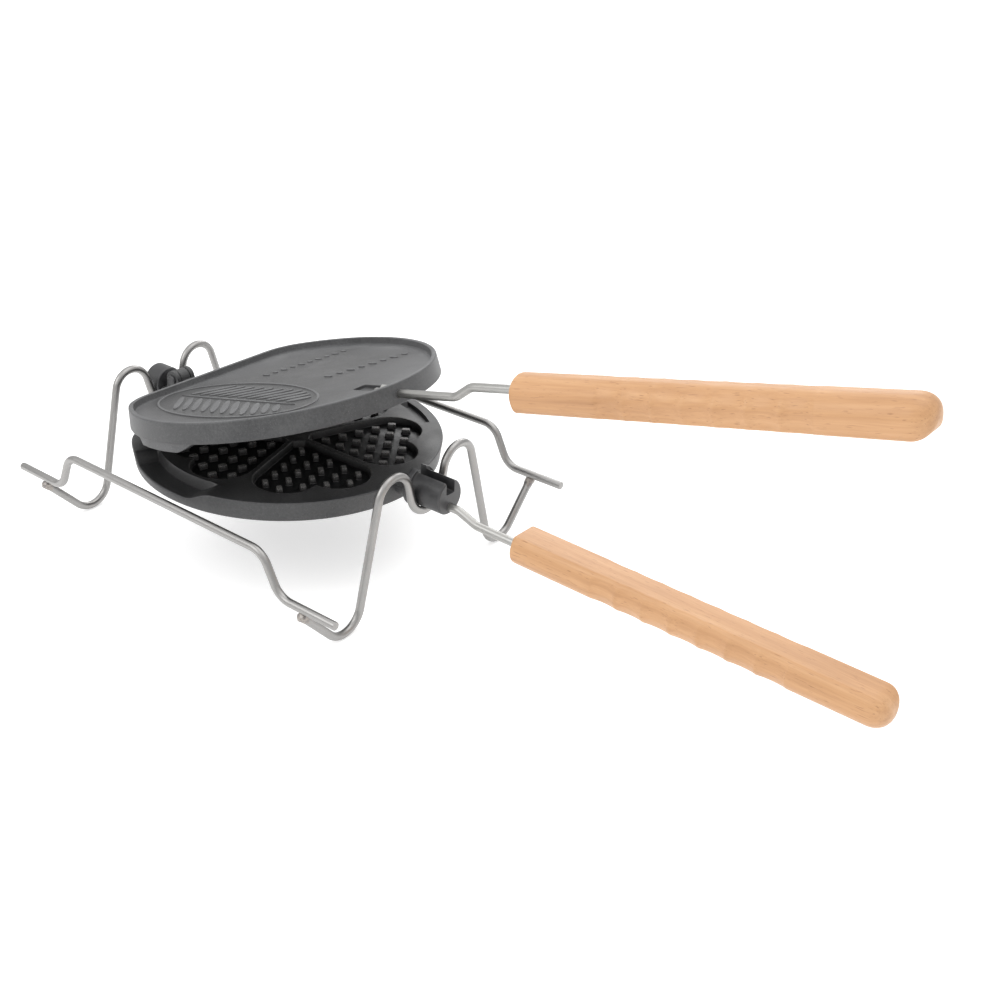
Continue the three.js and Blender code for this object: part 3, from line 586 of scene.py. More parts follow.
def end_frame(x):
    """Two feet, two humps and the notch between them."""
    pins = [((-FOOT_Y, FOOT_Z), FOOT_BEND_R, 1), ((-HUMP_Y, HUMP_Z), HUMP_R, -1),
            ((0, AXIS_Z), NOTCH_R, 1),
            ((HUMP_Y, HUMP_Z), HUMP_R, -1), ((FOOT_Y, FOOT_Z), FOOT_BEND_R, 1)]
    stations = bent_line((-RAIL_Y, FRAME_START_Z), pins, (RAIL_Y, FRAME_START_Z))
    for end, reach in ((0, -INTO_WELD), (-1, INTO_WELD)):
        (a, b), heading = stations[end]
        stations[end] = ((a + reach * cos(heading), b + reach * sin(heading)), heading)
    return tube(stations, lambda y, z: (x, y, z), (1, 0, 0), WIRE_R)


def rail(y):
    """A side wire that steps down towards both ends."""
    run = RAIL_BEND_R * tan(atan2(RAIL_HIGH_Z - RAIL_LOW_Z, RAIL_KINK_OUT_X - RAIL_KINK_IN_X) / 2)
    low = (RAIL_KINK_OUT_X + run, RAIL_LOW_Z + RAIL_BEND_R)
    high = (RAIL_KINK_IN_X - run, RAIL_HIGH_Z - RAIL_BEND_R)
    pins = [((-low[0], low[1]), RAIL_BEND_R, 1), ((-high[0], high[1]), RAIL_BEND_R, -1),
            (high, RAIL_BEND_R, -1), (low, RAIL_BEND_R, 1)]
    stations = bent_line((-RAIL_END_X, RAIL_LOW_Z), pins, (RAIL_END_X, RAIL_LOW_Z))
    return tube(stations, lambda x, z: (x, y, z), (0, 1, 0), WIRE_R)


def weld(x, side):
    """A small fillet of weld metal round the end of a frame, against the rail's underside."""
    foot = ((-FOOT_Y, FOOT_Z), FOOT_BEND_R, 1)
    (y, z), heading = bent_line((-RAIL_Y, FRAME_START_Z), [foot], (0, 200))[0]
    out = Vector((0, side * sin(heading), cos(heading)))
    shell = Shell()
    rings = []
    for along, radius in WELD_PROFILE:
        middle = Vector((x, -side * (y + along * cos(heading)), z + along * sin(heading)))
        points = []
        for i in range(WELD_SIDES):
            t = 2 * pi * i / WELD_SIDES
            lump = 1 + 0.045 * sin(5 * t + along) + 0.03 * sin(9 * t + 2 * x)
            points.append(middle + radius * lump * (cos(t) * Vector((1, 0, 0)) + sin(t) * out))
        rings.append(shell.ring(points))
    shell.strips(rings)
    shell.caps(rings)
    return shell


# ---- the two castings

RIM_STEPS = 264
CORNER_STEPS, CHORD_STEPS = 14, 30
# the rim's section from the parting face, over the wall and the back's rim, to the sunk back: (inset, z)
RIM_WALL = [(1.2, -0.15), (1.0, -0.15), (0.6, -0.22), (0.25, -0.45), (0.08, -0.85), (1.52, -12.4),
            (1.7, -13.0), (2.05, -13.35), (2.55, -13.5), (3.9, -13.5), (4.4, -13.4), (4.8, -13.05),
            (5.25, -9.9), (5.5, -9.35), (6.1, -9.05), (6.9, -9.0)]
OUTER_ROWS = 5           # the rim rings that sink with the dip
# the inside of the back's rim is darkened as painted shade in the corner
INNER_ROWS = range(11, 14)         # the rings on the inside of the back's rim
# radii of the polar lines of the cooking face's patches
DIP_ROWS = [87.9, 88.3, 88.6, 88.9, 89.3, 89.7, 90.2, 91.0, 93.0, 96.0, 99.0, 101.5, 102.6]
TONGUE_ROWS = [91.4, 91.8, 92.1, 92.4, 92.8, 93.4, 95.0, 97.5, 100.0, 101.5, 102.2, 102.6, 102.85, 103.1,
               103.3, 103.45]
RECESS_ROWS = [91.0, 91.4, 91.7, 92.1, 92.7, 94.0, 95.5, 97.0, 97.6, 98.0, 98.3, 98.7]
# (inset or outset, z, blackness, wear): the top ring's land is oil black with painted shade, and its rounded
# edge is paled by wear and painted highlight
HEART_WALL = [(-0.9, FACE_Z, 0.85, 0.05), (-0.45, -0.24, 0.8, 0.28), (-0.05, -0.7, 0.9, 0.10),
              (0.5, -4.2, 1, 0), (0.9, -4.75, 1, 0), (1.6, -HEART_DEPTH, 1, 0)]
# the same columns for a stud: its paler top is wear and painted highlight
STUD_WALL = [(0.55, -HEART_DEPTH, 1, 0), (0.2, -4.75, 1, 0), (0.02, -4.2, 1, 0),
             (-0.28, -1.75, 0.85, 0.35), (-0.45, -1.48, 0.6, 0.9), (-0.8, STUD_TOP_Z, 0.5, 0.95)]
STUD_CORNER_R, STUD_CORNER_LEAST = 1.0, 0.25
# the ornament on the sunk back
SPRIG_X, SPRIG_Y, SPRIG_LENGTH, STEM_WIDTH = -56, 41, 112, 2.6
LEAVES, LEAF_FIRST_X, LEAF_PITCH, LEAF_WIDTH, LEAF_LEAN, LEAF_OFF_STEM = 11, -50, 9.4, 5.0, radians(50), 3.4
LEAF_ROOM_X, LEAF_ROOM_Y, LEAF_LEAST, LEAF_MOST = 63, 32, 4.0, 31
OVAL_OUT, OVAL_IN = (68.5, 37.2), (66.6, 35.3)
LOZENGE_ROWS = (((-29, -13), (-16, -77), 10, 4.6), ((27, -18), (44, -76), 8, 5.4))   # from, to, count, length
LOZENGE_WIDTH, LOZENGE_TURN, LOZENGE_GROWTH = 2.6, 1.2, 1.35
RAISED = 0.65
# (outset, rise, blackness): the darker rings at the foot of each raised shape are painted shade
ISLAND = ((0.30, 0.0, 0.75), (0.02, 0.12, 0.9), (-0.18, RAISED - 0.12, 0.1), (-0.42, RAISED, 0.0))


def rim_line():
    """Points of the plate's outline, each with its outward direction."""
    cx = CORNER_R - CHORD_X
    cy = sqrt((PLATE_R - CORNER_R) ** 2 - cx**2)
    meet = atan2(cy, cx)
    line = []
    for i in range(RIM_STEPS):
        a = -meet + 2 * meet * i / RIM_STEPS
        line.append((PLATE_R * cos(a), PLATE_R * sin(a), cos(a), sin(a)))
    for i in range(CORNER_STEPS):
        a = meet + (pi - meet) * i / CORNER_STEPS
        line.append((cx + CORNER_R * cos(a), cy + CORNER_R * sin(a), cos(a), sin(a)))
    for i in range(CHORD_STEPS):
        line.append((-CHORD_X, cy - 2 * cy * i / CHORD_STEPS, -1, 0))
    for i in range(CORNER_STEPS):
        a = -pi + (pi - meet) * i / CORNER_STEPS
        line.append((cx + CORNER_R * cos(a), -cy + CORNER_R * sin(a), cos(a), sin(a)))
    return line


def flank(angle, foot, crest):
    """0 outside the foot's span, 1 inside the crest's, easing between them."""
    return smooth(min((angle - foot[0]) / (crest[0] - foot[0]), (foot[1] - angle) / (foot[1] - crest[1])))


def dip_at(angle):
    """How far the rim sinks there."""
    return (DIP_DEPTH + FACE_Z) * flank(angle, DIP_BRIM, DIP_FLOOR)


def heart_outline(inset, steps=22):
    """A heart drawn inwards by the inset, its point towards the plate's centre, in (u, v)."""
    point_v = (HEART_POINT_U + inset) * tan(HEART_HALF) - (RIB_HALF + inset) / cos(HEART_HALF)
    side = pi / 2 + HEART_HALF
    cleft = asin(LOBE_V / (LOBE_R - inset))
    return [(HEART_POINT_U + inset, -point_v),
            *arc(LOBE_U, -LOBE_V, LOBE_R - inset, -side, cleft, steps),
            *arc(LOBE_U, LOBE_V, LOBE_R - inset, -cleft, side, steps)[1:],
            (HEART_POINT_U + inset, point_v)]


def inside(x, y, outline):
    odd = False
    for i, (ax, ay) in enumerate(outline):
        bx, by = outline[(i + 1) % len(outline)]
        if (ay > y) != (by > y) and x < ax + (y - ay) * (bx - ax) / (by - ay):
            odd = not odd
    return odd


def stud_places():
    """Staggered studs that fit inside the heart."""
    limit = heart_outline(STUD_MARGIN, 9)
    places = []
    for row in range(STUD_ROWS):
        u = STUD_FIRST_U + row * STUD_PITCH_U
        for column in range(-3, 4):
            v = (column + (row % 2) / 2) * STUD_PITCH_V
            corners = [(u + du * STUD_LONG / 2, v + dv * STUD_WIDE / 2) for du in (-1, 1) for dv in (-1, 1)]
            if all(inside(a, b, limit) for a, b in corners):
                places.append((u, v))
    return places


def heart_mould():
    """One heart in its own axes: wall, floor and studs, black inside. Returns the shell and its top ring."""
    shell = Shell()
    rings = [shell.ring([(u, v, z) for u, v in heart_outline(inset)], season, worn)
             for inset, z, season, worn in HEART_WALL]
    shell.strips(rings)
    loops = [rings[-1]]
    half_u, half_v = STUD_LONG / 2, STUD_WIDE / 2
    for u, v in stud_places():
        stud = []
        for outset, z, season, worn in STUD_WALL:
            radius = max(STUD_CORNER_LEAST, STUD_CORNER_R + outset)
            outline = rounded_box(u - half_u - outset, u + half_u + outset,
                                  v - half_v - outset, v + half_v + outset, radius, 3)
            stud.append(shell.ring([(a, b, z) for a, b in outline], season, worn))
        shell.strips(stud)
        shell.faces.append(tuple(stud[-1]))
        loops.append(stud[0])
    shell.fill(loops)
    return shell, rings[0]


def polar_patch(shell, angles, radii, height, season):
    """A raised or sunk patch of the cooking face on polar lines; returns its grid and its edge loop."""
    grid = []
    for r in radii:
        points = [(PLATE_X + r * cos(radians(a)), r * sin(radians(a)), height(a, r)) for a in angles]
        grid.append(shell.ring(points, season))
    shell.strips(grid, closed=False)
    edge = grid[0] + [row[-1] for row in grid[1:]] + grid[-1][-2::-1] + [row[0] for row in grid[-2:0:-1]]
    return grid, edge


def steps(start, end, step):
    count = max(1, round((end - start) / step))
    return [start + (end - start) * i / count for i in range(count + 1)]


def leaf(x, y, length, width, angle, count=9):
    """A pointed leaf outline whose stem end is at (x, y)."""
    ca, sa = cos(angle), sin(angle)
    turns = [pi * i / count for i in range(count + 1)]
    side = [(length * (0.5 - 0.5 * cos(t)), width / 2 * sin(t) ** 0.8) for t in turns]
    outline = [(u, -v) for u, v in side] + [(u, v) for u, v in side[-2:0:-1]]
    return [(x + u * ca - v * sa, y + u * sa + v * ca) for u, v in outline]


def relief_outlines():
    """Ornament on the sunk back: a sprig and two rows of lozenges, clear of each other, all convex."""
    shapes = [leaf(SPRIG_X, SPRIG_Y, SPRIG_LENGTH, STEM_WIDTH, 0.0, 16)]

    def has_room(x, reach):
        across, up = x + cos(LEAF_LEAN) * reach, LEAF_OFF_STEM + sin(LEAF_LEAN) * reach
        return (across / LEAF_ROOM_X) ** 2 + (up / LEAF_ROOM_Y) ** 2 < 1 and reach < LEAF_MOST

    for i in range(LEAVES):
        x = LEAF_FIRST_X + LEAF_PITCH * i
        reach = LEAF_LEAST
        while has_room(x, reach):
            reach += 0.5
        for side in (-1, 1):
            shapes.append(leaf(x, SPRIG_Y + side * LEAF_OFF_STEM, reach, LEAF_WIDTH, side * LEAF_LEAN))
    for (x0, y0), (x1, y1), count, length in LOZENGE_ROWS:
        turn = atan2(y1 - y0, x1 - x0) + LOZENGE_TURN
        for i in range(count):
            t = i / (count - 1)
            x, y = x0 + (x1 - x0) * t, y0 + (y1 - y0) * t
            size = length * (1.0 if i % 2 else LOZENGE_GROWTH)
            start_x, start_y = x - size / 2 * cos(turn), y - size / 2 * sin(turn)
            shapes.append(leaf(start_x, start_y, size, LOZENGE_WIDTH, turn, 6))
    return shapes


def oval(rx, ry, count=96):
    turn = [2 * pi * i / count for i in range(count)]
    return [(rx * cos(t), SPRIG_Y + ry * sin(t)) for t in turn]


def back_face(shell, floor_ring):
    """The sunk back inside the rim: nut pocket, ornament and the flat between them."""
    loops = [floor_ring]

    def island(outline, grow=1):
        rings = []
        for outset, rise, season in ISLAND:
            moved = offset(outline, -outset * grow)
            rings.append(shell.ring([(x, y, BACK_Z - rise) for x, y in moved], season))
        shell.strips(rings)
        return rings

    for outline in relief_outlines():
        rings = island(outline)
        shell.faces.append(tuple(rings[-1]))
        loops.append(rings[0])
    outer, inner = island(oval(*OVAL_OUT)), island(oval(*OVAL_IN), -1)
    shell.fill([outer[-1], inner[-1]])
    loops += [outer[0], inner[0]]
    run = rounded_box(POCKET_X0, POCKET_X1, -POCKET_HALF, POCKET_HALF, 1.4)
    seat = rounded_box(POCKET_NUT_X0, POCKET_X1 - 0.3, -POCKET_HALF + 0.3, POCKET_HALF - 0.3, 1.1)
    run_wall = ((-0.35, BACK_Z), (-0.05, BACK_Z + 0.3), (0.0, POCKET_Z - 0.3), (0.1, POCKET_Z))
    seat_wall = ((0.0, POCKET_Z), (0.15, POCKET_Z + 0.3), (0.3, POCKET_NUT_Z - 0.4), (0.7, POCKET_NUT_Z))
    # the pocket's walls and seat are darkened as painted shade in the recess
    rings = [shell.ring([(x, y, z) for x, y in offset(run, inset)], 0.6) for inset, z in run_wall]
    loops.append(rings[0])
    shell.strips(rings)
    deep = [shell.ring([(x, y, z) for x, y in offset(seat, inset)], 0.9) for inset, z in seat_wall]
    shell.fill([rings[-1], deep[0]])
    shell.strips(deep)
    shell.faces.append(tuple(deep[-1]))
    shell.fill(loops)


def casting(wall):
    """One plate without its hinge parts, cooking side up; wall says how black its rim is."""
    shell = Shell()
    line = rim_line()
    angles = [degrees(atan2(y, x)) for x, y, _, _ in line]
    # the first two rows edge the cooking face: oil black with painted shade
    wall_season = (0.85, 0.7, wall, wall, wall, wall, wall * 0.8, wall * 0.4)
    rings = []
    for row, (inset, z) in enumerate(RIM_WALL):
        points = []
        for (x, y, nx, ny), angle in zip(line, angles):
            drop = dip_at(angle) if row < OUTER_ROWS else 0.0
            move = inset + PLATE_DRAFT * drop / PLATE_DEPTH
            points.append((PLATE_X + x - nx * move, y - ny * move, z - drop))
        # the inner rows of the back's rim are darkened as painted shade
        back_season = 0.35 if row in INNER_ROWS else 0.0
        rings.append(shell.ring(points, wall_season[row] if row < len(wall_season) else back_season))
    shell.strips(rings)
    back_face(shell, rings[-1])

    # the dip: polar lines that end on the rim's own points
    inside_dip = [i for i, a in enumerate(angles[:RIM_STEPS]) if DIP_BRIM[0] - 2 < a < DIP_BRIM[1] + 2]
    dip_angles = [angles[i] for i in inside_dip]

    def dip_height(angle, r):
        return FACE_Z - dip_at(angle) * smooth((r - DIP_IN + 0.5) / 1.5)

    # the dip is nearly black: painted shade under the upper plate on the oil-black face
    grid, _ = polar_patch(shell, dip_angles, DIP_ROWS, dip_height, 0.9)
    rim_part = [rings[0][i] for i in inside_dip]
    shell.strip(grid[-1], rim_part, closed=False)

    def tongue_height(angle, r):
        rise = flank(angle, TONGUE_FOOT, TONGUE_CREST)
        wall = smooth((r - TONGUE_IN + 0.4) / 1.6) * smooth((TONGUE_OUT - r) / 0.9)
        return FACE_Z + (TONGUE_TOP - FACE_Z) * rise * wall

    tongue_angles = steps(TONGUE_FOOT[0] - 0.1, TONGUE_FOOT[1] + 0.1, 0.7)
    _, tongue_edge = polar_patch(shell, tongue_angles, TONGUE_ROWS, tongue_height, 0.28)

    def recess_height(angle, r):
        wall = smooth((r - RECESS_IN + 0.4) / 0.9) * smooth((RECESS_OUT + 0.4 - r) / 0.9)
        ends = smooth(min(angle - RECESS_BRIM[0], RECESS_BRIM[1] - angle) / 1.2)
        return FACE_Z - (RECESS_DEPTH + FACE_Z) * wall * ends

    recess_angles = steps(RECESS_BRIM[0] - 0.1, RECESS_BRIM[1] + 0.1, 0.5)
    _, recess_edge = polar_patch(shell, recess_angles, RECESS_ROWS, recess_height, 0.8)

    heart, top = heart_mould()
    holes = [tongue_edge, recess_edge]
    for k in range(HEARTS):
        turn = Matrix.Translation((HEARTS_X, 0, 0)) @ Matrix.Rotation(2 * pi / HEARTS * (k + 0.5), 4, "Z")
        base = shell.add(heart, turn)
        holes.append([i + base for i in top])
    first, last = inside_dip[0], inside_dip[-1]
    outer = rings[0]
    border = outer[:first] + [outer[first]] + [row[0] for row in grid[::-1]] + grid[0][1:-1]
    border += [row[-1] for row in grid] + outer[last:]
    shell.fill([border, *holes])
    return shell


def half_neck():
    """The neck that carries the front bush, cut flat at the parting face."""
    x0, x1 = PLATE_X + PLATE_R - 5, BUSH_X0 - 0.3
    outline = [(-NECK_R, FACE_Z - 0.02), *arc(0, 0, NECK_R, pi + 0.03, 2 * pi - 0.03, 36),
               (NECK_R, FACE_Z - 0.02)]
    return prism(outline, x0, x1, 0.6, lambda y, z, x: (x, y, z))


def block_y(outline, y0, y1, bevel):
    """A block across the iron, of that outline in (x, z)."""
    return prism(outline, y0, y1, bevel, lambda x, z, y: (x, y, z))


def ear(y0):
    """One side of the fork that holds the pin."""
    outline = [(HINGE_X + EAR_FOOT[0], EAR_FOOT_Z), (HINGE_X + EAR_FOOT[1], EAR_FOOT_Z),
               *arc(HINGE_X, HINGE_Z, EAR_R, radians(20), radians(170), 26)]
    return block_y(outline, y0, y0 + EAR_OUT - EAR_IN, 0.8)


def knuckle_arm():
    """The upper half's arm, which ends round the pin."""
    bottom, top = KNUCKLE_ARM
    high, low = asin((top + HINGE_Z) / KNUCKLE_R), asin((bottom + HINGE_Z) / KNUCKLE_R)
    outline = [(PLATE_X - CHORD_X + ARM_BITE, bottom), (PLATE_X - CHORD_X + ARM_BITE, top),
               *arc(HINGE_X, -HINGE_Z, KNUCKLE_R, high, 2 * pi + low, 36)]
    return block_y(outline, -KNUCKLE_HALF, KNUCKLE_HALF, 0.8)


def lower_arm():
    """The bar between the lower plate and the rear disc."""
    outline = rounded_box(DISC_X1 + 0.3, PLATE_X - CHORD_X + ARM_BITE, -ARM_DEPTH, FACE_Z - 0.3, 1.2)
    return block_y(outline, -ARM_HALF, ARM_HALF, 1.4)


# ---- trunnions, pin, screw and nuts


def circle(x, r, z=0.0, sides=72):
    """Points round a line along X at that height."""
    return [(x, r * cos(t), z + r * sin(t)) for t in (2 * pi * i / sides for i in range(sides))]


def front_bush():
    """Collar and journal, with a flat-bottomed groove along the top for the rod."""
    shell = Shell()
    rings = []
    profile = ((BUSH_X0, COLLAR_R - 0.7), (BUSH_X0 + 0.2, COLLAR_R - 0.2), (BUSH_X0 + 0.7, COLLAR_R),
               (BUSH_SHOULDER_X - 0.7, COLLAR_R), (BUSH_SHOULDER_X - 0.2, COLLAR_R - 0.2),
               (BUSH_SHOULDER_X, COLLAR_R - 0.7), (BUSH_SHOULDER_X, JOURNAL_R + 0.4),
               (BUSH_SHOULDER_X + 0.4, JOURNAL_R), (BUSH_X1 - 1.25, JOURNAL_R),
               (BUSH_X1 - 0.95, JOURNAL_R - 0.08), (BUSH_X1 - 0.15, JOURNAL_R - 0.85),
               (BUSH_X1, JOURNAL_R - 1.15))
    for x, r in profile:
        top = acos(GROOVE_HALF / r)
        section = [(GROOVE_HALF, r * sin(top) * 0.6 + GROOVE_Z * 0.4), *arc(0, 0, r, top, -pi - top, 64),
                   (-GROOVE_HALF, r * sin(top) * 0.6 + GROOVE_Z * 0.4), (-GROOVE_HALF, GROOVE_Z + 0.9),
                   (-GROOVE_HALF + 0.35, GROOVE_Z + 0.3), (-GROOVE_HALF + 1.1, GROOVE_Z),
                   (GROOVE_HALF - 1.1, GROOVE_Z), (GROOVE_HALF - 0.35, GROOVE_Z + 0.3),
                   (GROOVE_HALF, GROOVE_Z + 0.9)]
        rings.append(shell.ring([(x, y, z) for y, z in section]))
    shell.strips(rings)
    shell.fill([rings[0]], (1, 2))
    shell.fill([rings[-1]], (1, 2))
    return shell


def rear_disc():
    """A disc with a seat for the screw's head."""
    shell = Shell()
    edge = [(DISC_X0, JOURNAL_R - 1.1), (DISC_X0 + 0.25, JOURNAL_R - 0.6), (DISC_X0 + 1.0, JOURNAL_R - 0.06),
            (DISC_X0 + 1.4, JOURNAL_R), (DISC_X1 - 1.4, JOURNAL_R), (DISC_X1 - 1.0, JOURNAL_R - 0.06),
            (DISC_X1 - 0.25, JOURNAL_R - 0.6), (DISC_X1, JOURNAL_R - 1.1)]
    rings = [shell.ring(circle(x, r)) for x, r in edge]
    shell.strips(rings)
    shell.faces.append(tuple(rings[-1]))
    seat_r = SCREW_HEAD_R + 0.3
    seat_wall = ((DISC_X0, seat_r + 0.3), (DISC_X0 + 0.3, seat_r), (DISC_X0 + SCREW_HEAD_L + 0.5, seat_r))
    seat = [shell.ring(circle(x, r, SCREW_Z, 40)) for x, r in seat_wall]
    shell.strips(seat)
    shell.faces.append(tuple(seat[-1]))
    shell.fill([rings[0], seat[0]], (1, 2))
    return shell


def rear_screw():
    """A slotted cheese-head screw."""
    shell = Shell()
    head = DISC_X0 + 0.3
    under, tip = head + SCREW_HEAD_L, head + SCREW_LENGTH
    edge = [(head, SCREW_HEAD_R - 0.7), (head + 0.2, SCREW_HEAD_R - 0.25), (head + 0.7, SCREW_HEAD_R),
            (under, SCREW_HEAD_R), (under, SCREW_R), (tip - 1, SCREW_R), (tip, SCREW_R - 1)]
    rings = [shell.ring(circle(x, r, SCREW_Z, 48)) for x, r in edge]
    shell.strips(rings)
    shell.faces.append(tuple(rings[-1]))
    slot_line = rounded_box(-3.4, 3.4, SCREW_Z - 0.6, SCREW_Z + 0.6, 0.3)
    slot_rings = [shell.ring([(x, y, z) for y, z in slot_line]) for x in (head, head + 1.4)]
    shell.strips(slot_rings)
    shell.faces.append(tuple(slot_rings[-1]))
    shell.fill([rings[0], slot_rings[0]], (1, 2))
    return shell


def hinge_pin():
    """A pin with a riveted head on each end."""
    shoulder = EAR_OUT + 0.3
    end = shoulder + PIN_HEAD_L
    half = [(shoulder, HINGE_PIN_R), (shoulder, PIN_HEAD_R), (end - 0.9, PIN_HEAD_R),
            (end - 0.45, PIN_HEAD_R - 0.2), (end - 0.12, PIN_HEAD_R - 0.7), (end, PIN_HEAD_R - 1.3)]
    return lathe([(-a, r) for a, r in half[::-1]] + half, 48, along_y(HINGE_X, HINGE_Z))


def rod_nut():
    """The hexagon nut in a plate's pocket."""
    x1 = POCKET_X1 - 0.3
    corner = NUT_FLATS / sqrt(3)
    hexagon = [(corner * cos(pi / 3 * i + pi / 6), corner * sin(pi / 3 * i + pi / 6)) for i in range(6)]
    return prism(hexagon, x1 - NUT_THICK, x1, 0.55, lambda y, z, x: (x, y, -ROD_Z + z))


def handle_rod(grip_x, flat, pitch):
    """The rod from a plate's pocket, stepped once, into the grip's middle."""

    def on_axis(along):
        return (grip_x + along * cos(pitch) - GRIP_AXIS * sin(pitch),
                -flat - along * sin(pitch) - GRIP_AXIS * cos(pitch))

    tangent = on_axis(ROD_BEND_2_X - grip_x)
    pins = [((ROD_BEND_1_X, -ROD_Z - ROD_BEND_R), ROD_BEND_R, -1),
            ((tangent[0] + ROD_BEND_R * sin(pitch), tangent[1] + ROD_BEND_R * cos(pitch)), ROD_BEND_R, 1)]
    stations = bent_line((ROD_X0, -ROD_Z), pins, on_axis(ROD_IN_GRIP))
    return tube(stations, lambda x, z: (x, 0, z), (0, 1, 0), ROD_R)


# ---- grips


def grip():
    """Wooden grip along +X, its flat at z = 0, with seven finger dents in each side."""
    belly = 0.45 * GRIP_DEPTH
    edge = acos(GRIP_FLAT_HALF / GRIP_HALF)
    shoulder = belly / sin(edge)

    def bow(angle):
        height = shoulder if sin(angle) > 0 else GRIP_DEPTH - belly
        return GRIP_HALF * cos(angle), -belly + height * sin(angle)

    side = [bow(edge - (edge + pi / 2) * i / 34) for i in range(35)]
    side = [p for p in side if p[1] < -GRIP_EDGE_R]
    flat_end = GRIP_FLAT_HALF - GRIP_EDGE_R
    corner = [(flat_end, 0.0), (GRIP_FLAT_HALF - GRIP_EDGE_R * 0.45, -0.12), (GRIP_FLAT_HALF + 0.06, -0.52)]
    flat = [(flat_end * i / 6, 0.0) for i in range(1, 6)]
    right = [(0.0, 0.0), *flat, *corner, *side]
    section = right + [(-y, z) for y, z in right[-2:0:-1]]

    first = SCALLOP_FIRST - SCALLOP_PITCH / 2
    last = SCALLOP_FIRST + (SCALLOPS - 0.5) * SCALLOP_PITCH

    def dent(x, y, z):
        """How far a finger scallop pulls that point of the side inwards."""
        if not first < x < last or abs(y) < 1e-6:
            return 0.0
        phase = ((x - first) / SCALLOP_PITCH) % 1 * 2 - 1
        bowl = (1 - phase * phase) ** 0.9
        high = 0.30 + 0.70 * smooth((-z - 0.2) / 4.2)
        low = 0.25 + 0.75 * smooth((z + GRIP_DEPTH) / 6.5)
        return SCALLOP_DEPTH * bowl * high * low

    stations = [(0.0, 0.925), (0.12, 0.945), (0.5, 0.972), (1.1, 0.992), (1.8, 1.0)]
    stations += [(x, 1.0) for x in steps(4, first, 4)]
    stations += [(x, 1.0) for x in steps(first + 1.0, last, 1.0)]
    tip_start = GRIP_LENGTH - GRIP_TIP
    stations += [(x, 1.0) for x in steps(last + 4, tip_start, 4)]
    for i in range(1, 14):
        t = sin(pi / 2 * i / 14)
        stations.append((tip_start + GRIP_TIP * t, (1 - t**GRIP_TIP_POWER) ** (1 / GRIP_TIP_POWER)))
    shell = Shell()
    rings = []
    for x, scale in stations:
        points = []
        for y, z in section:
            inward = dent(x, y, z)
            y2 = y - (inward if y > 0 else -inward) * min(1.0, abs(y) / 6)
            z2 = z + inward * 0.35 * smooth((-z - belly) / 8)
            points.append((x, y2 * scale, -GRIP_AXIS + (z2 + GRIP_AXIS) * scale))
        rings.append(shell.ring(points))
    shell.strips(rings)
    shell.fill([rings[0]], (1, 2))
    shell.fan(rings[-1], (GRIP_LENGTH, 0, -GRIP_AXIS))
    return shell


# ---- pieces

WIRE_SHARP, WELD_SHARP, GRIP_SHARP = 50, 60, 60          # degrees from which an edge stays sharp
ends = (("front", FRAME_X), ("rear", -FRAME_X))
for end, x in ends:
    make(f"{end}_end_frame_wire", end_frame(x), STAND, STEEL, "stand", f"{end}_end_frame",
         WIRE_SHARP, False)
for where, side in (("near", -1), ("far", 1)):
    make(f"{where}_rail_wire", rail(side * RAIL_Y), STAND, STEEL, "stand", f"{where}_rail",
         WIRE_SHARP, False)
    for end, x in ends:
        make(f"{end}_{where}_weld_fillet", weld(x, side), STAND, WELD, "stand", f"{end}_{where}_weld",
             WELD_SHARP, False)

HINGE_SEASON, LOWER_SEASON, UPPER_SEASON = 0.7, 0.6, 0.5       # how black the outside of the castings is
hinge_parts = [half_neck(), lower_arm(), ear(EAR_IN), ear(-EAR_OUT)]
knuckle = knuckle_arm()
for dark in (*hinge_parts, knuckle):
    dark.season = [HINGE_SEASON] * len(dark.season)
make("lower_casting", [casting(LOWER_SEASON), *hinge_parts], LOWER, CAST, "lower_half", "lower_plate")
make("upper_casting", [casting(UPPER_SEASON), knuckle], UPPER, CAST, "upper_half", "upper_plate")
make("front_bush_turned", front_bush(), LOWER, BLACK, "lower_half", "front_trunnion_bush")
make("rear_disc_turned", rear_disc(), LOWER, BLACK, "lower_half", "rear_trunnion_disc")
make("rear_screw_slotted", rear_screw(), LOWER, PLATED, "lower_half", "rear_trunnion_screw")
make("hinge_pin_riveted", hinge_pin(), LOWER, BLACK, "lower_half", "hinge_pin")
grip_shell = grip()
halves = (("lower", LOWER, "lower_half", LOWER_GRIP), ("upper", UPPER, "upper_half", UPPER_GRIP))
for name, place, body, (grip_x, flat, pitch) in halves:
    make(f"{name}_rod_bent", handle_rod(grip_x, flat, pitch), place, ROD_STEEL, body, f"{name}_rod",
         WIRE_SHARP, False)
    make(f"{name}_nut_hex", rod_nut(), place, PLATED, body, f"{name}_rod_nut")
    grip_place = place @ at_mm(grip_x, 0, -flat) @ Matrix.Rotation(pitch, 4, "Y")
    make(f"{name}_grip_carved", grip_shell, grip_place, BEECH, body, f"{name}_grip", GRIP_SHARP)

# ---- floor, light and camera

FLOOR_HALF = 9           # metres
WORLD_LOW, WORLD_HIGH = 0.62, 1.3                      # the surroundings' strength at the horizon and overhead
CENTRE = Vector((-0.08, 0, 0.08))                      # what the lamps point at
CAMERA_AZ, CAMERA_EL = radians(40.92), radians(32.17)
CAMERA_AT = Vector((0.5802, -0.5451, 0.4587))          # in the stand's frame
LENS, SENSOR, SHIFT_X, SHIFT_Y = 46.32, 36, 0.0944, 0.0698

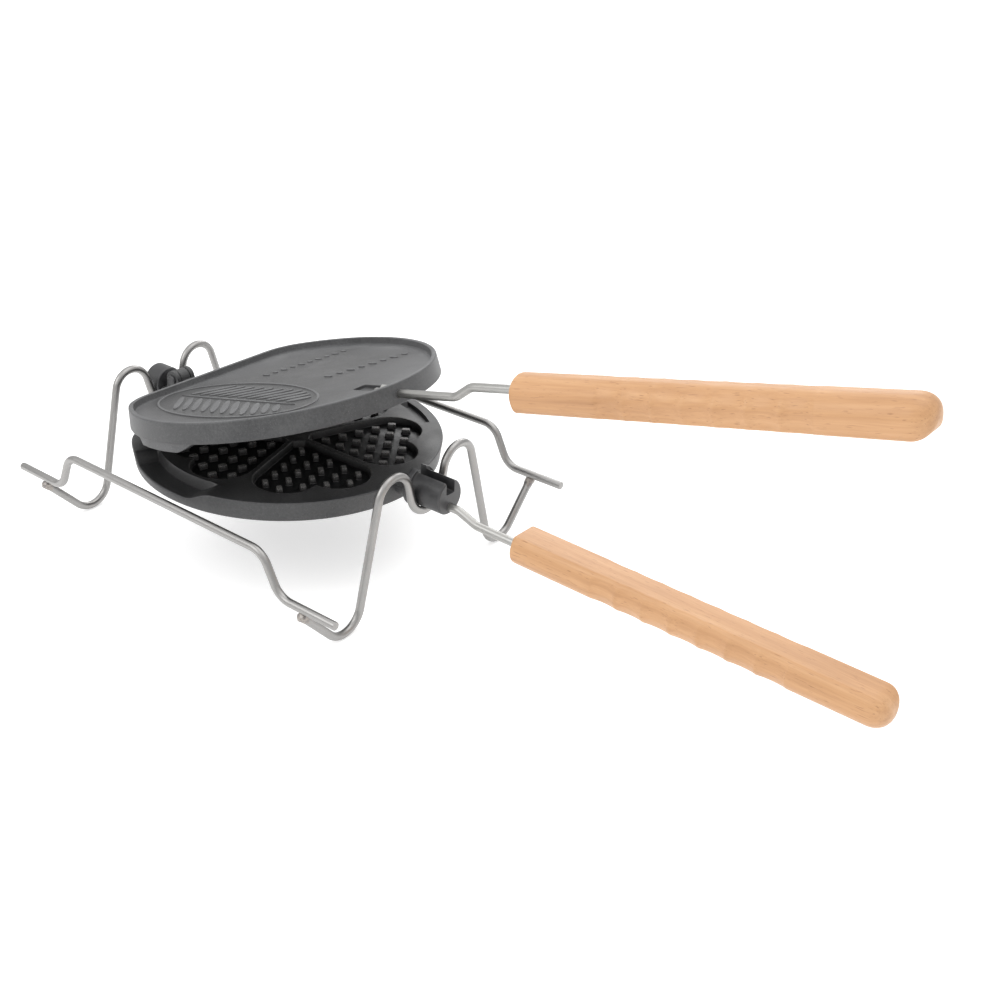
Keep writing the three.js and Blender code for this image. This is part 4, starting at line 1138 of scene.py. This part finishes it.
floor_mesh = bpy.data.meshes.new("floor")
corners = [(-FLOOR_HALF, -FLOOR_HALF, 0), (FLOOR_HALF, -FLOOR_HALF, 0),
           (FLOOR_HALF, FLOOR_HALF, 0), (-FLOOR_HALF, FLOOR_HALF, 0)]
floor_mesh.from_pydata(corners, [], [(0, 1, 2, 3)])
floor_mesh.materials.append(floor_card("floor_card"))
floor = bpy.data.objects.new("floor", floor_mesh)
bpy.context.scene.collection.objects.link(floor)

world = bpy.data.worlds.new("studio")
world.use_nodes = True
sky = world.node_tree.nodes
background = sky["Background"]
height = sky.new("ShaderNodeSeparateXYZ")
shade = sky.new("ShaderNodeMapRange")
for value, key in ((0.0, "From Min"), (1.0, "From Max"), (WORLD_LOW, "To Min"), (WORLD_HIGH, "To Max")):
    shade.inputs[key].default_value = value
world.node_tree.links.new(sky.new("ShaderNodeTexCoord").outputs["Generated"], height.inputs[0])
world.node_tree.links.new(height.outputs["Z"], shade.inputs["Value"])
world.node_tree.links.new(shade.outputs["Result"], background.inputs["Strength"])
background.inputs["Color"].default_value = (1, 1, 1, 1)
bpy.context.scene.world = world


def softbox(name, azimuth, elevation, distance, size, power):
    """A rectangular lamp that points at CENTRE; azimuth 0 is on the -Y side, in degrees."""
    data = bpy.data.lights.new(name, "AREA")
    data.shape = "RECTANGLE"
    data.size, data.size_y = size
    data.energy = power
    light = bpy.data.objects.new(name, data)
    az, el = radians(azimuth), radians(elevation)
    away = Vector((sin(az) * cos(el), -cos(az) * cos(el), sin(el)))
    light.location = CENTRE + away * distance
    light.rotation_euler = (-away).to_track_quat("-Z", "Y").to_euler()
    bpy.context.scene.collection.objects.link(light)


softbox("front_left", -25, 38, 1.6, (1.3, 1.0), 7)
softbox("overhead", 150, 72, 1.7, (1.6, 1.4), 6.5)
softbox("back_left", 205, 28, 1.9, (1.2, 0.6), 7)

forward = Vector((-sin(CAMERA_AZ) * cos(CAMERA_EL), cos(CAMERA_AZ) * cos(CAMERA_EL), -sin(CAMERA_EL)))
camera_data = bpy.data.cameras.new("camera")
camera_data.lens = LENS
camera_data.sensor_width = SENSOR
camera_data.shift_x = SHIFT_X
camera_data.shift_y = SHIFT_Y
camera_data.clip_start = 0.01
camera = bpy.data.objects.new("camera", camera_data)
camera.location = STAND @ CAMERA_AT
camera.rotation_euler = forward.to_track_quat("-Z", "Y").to_euler()
bpy.context.scene.collection.objects.link(camera)
bpy.context.scene.camera = camera
bpy.context.scene.view_settings.view_transform = "Standard"
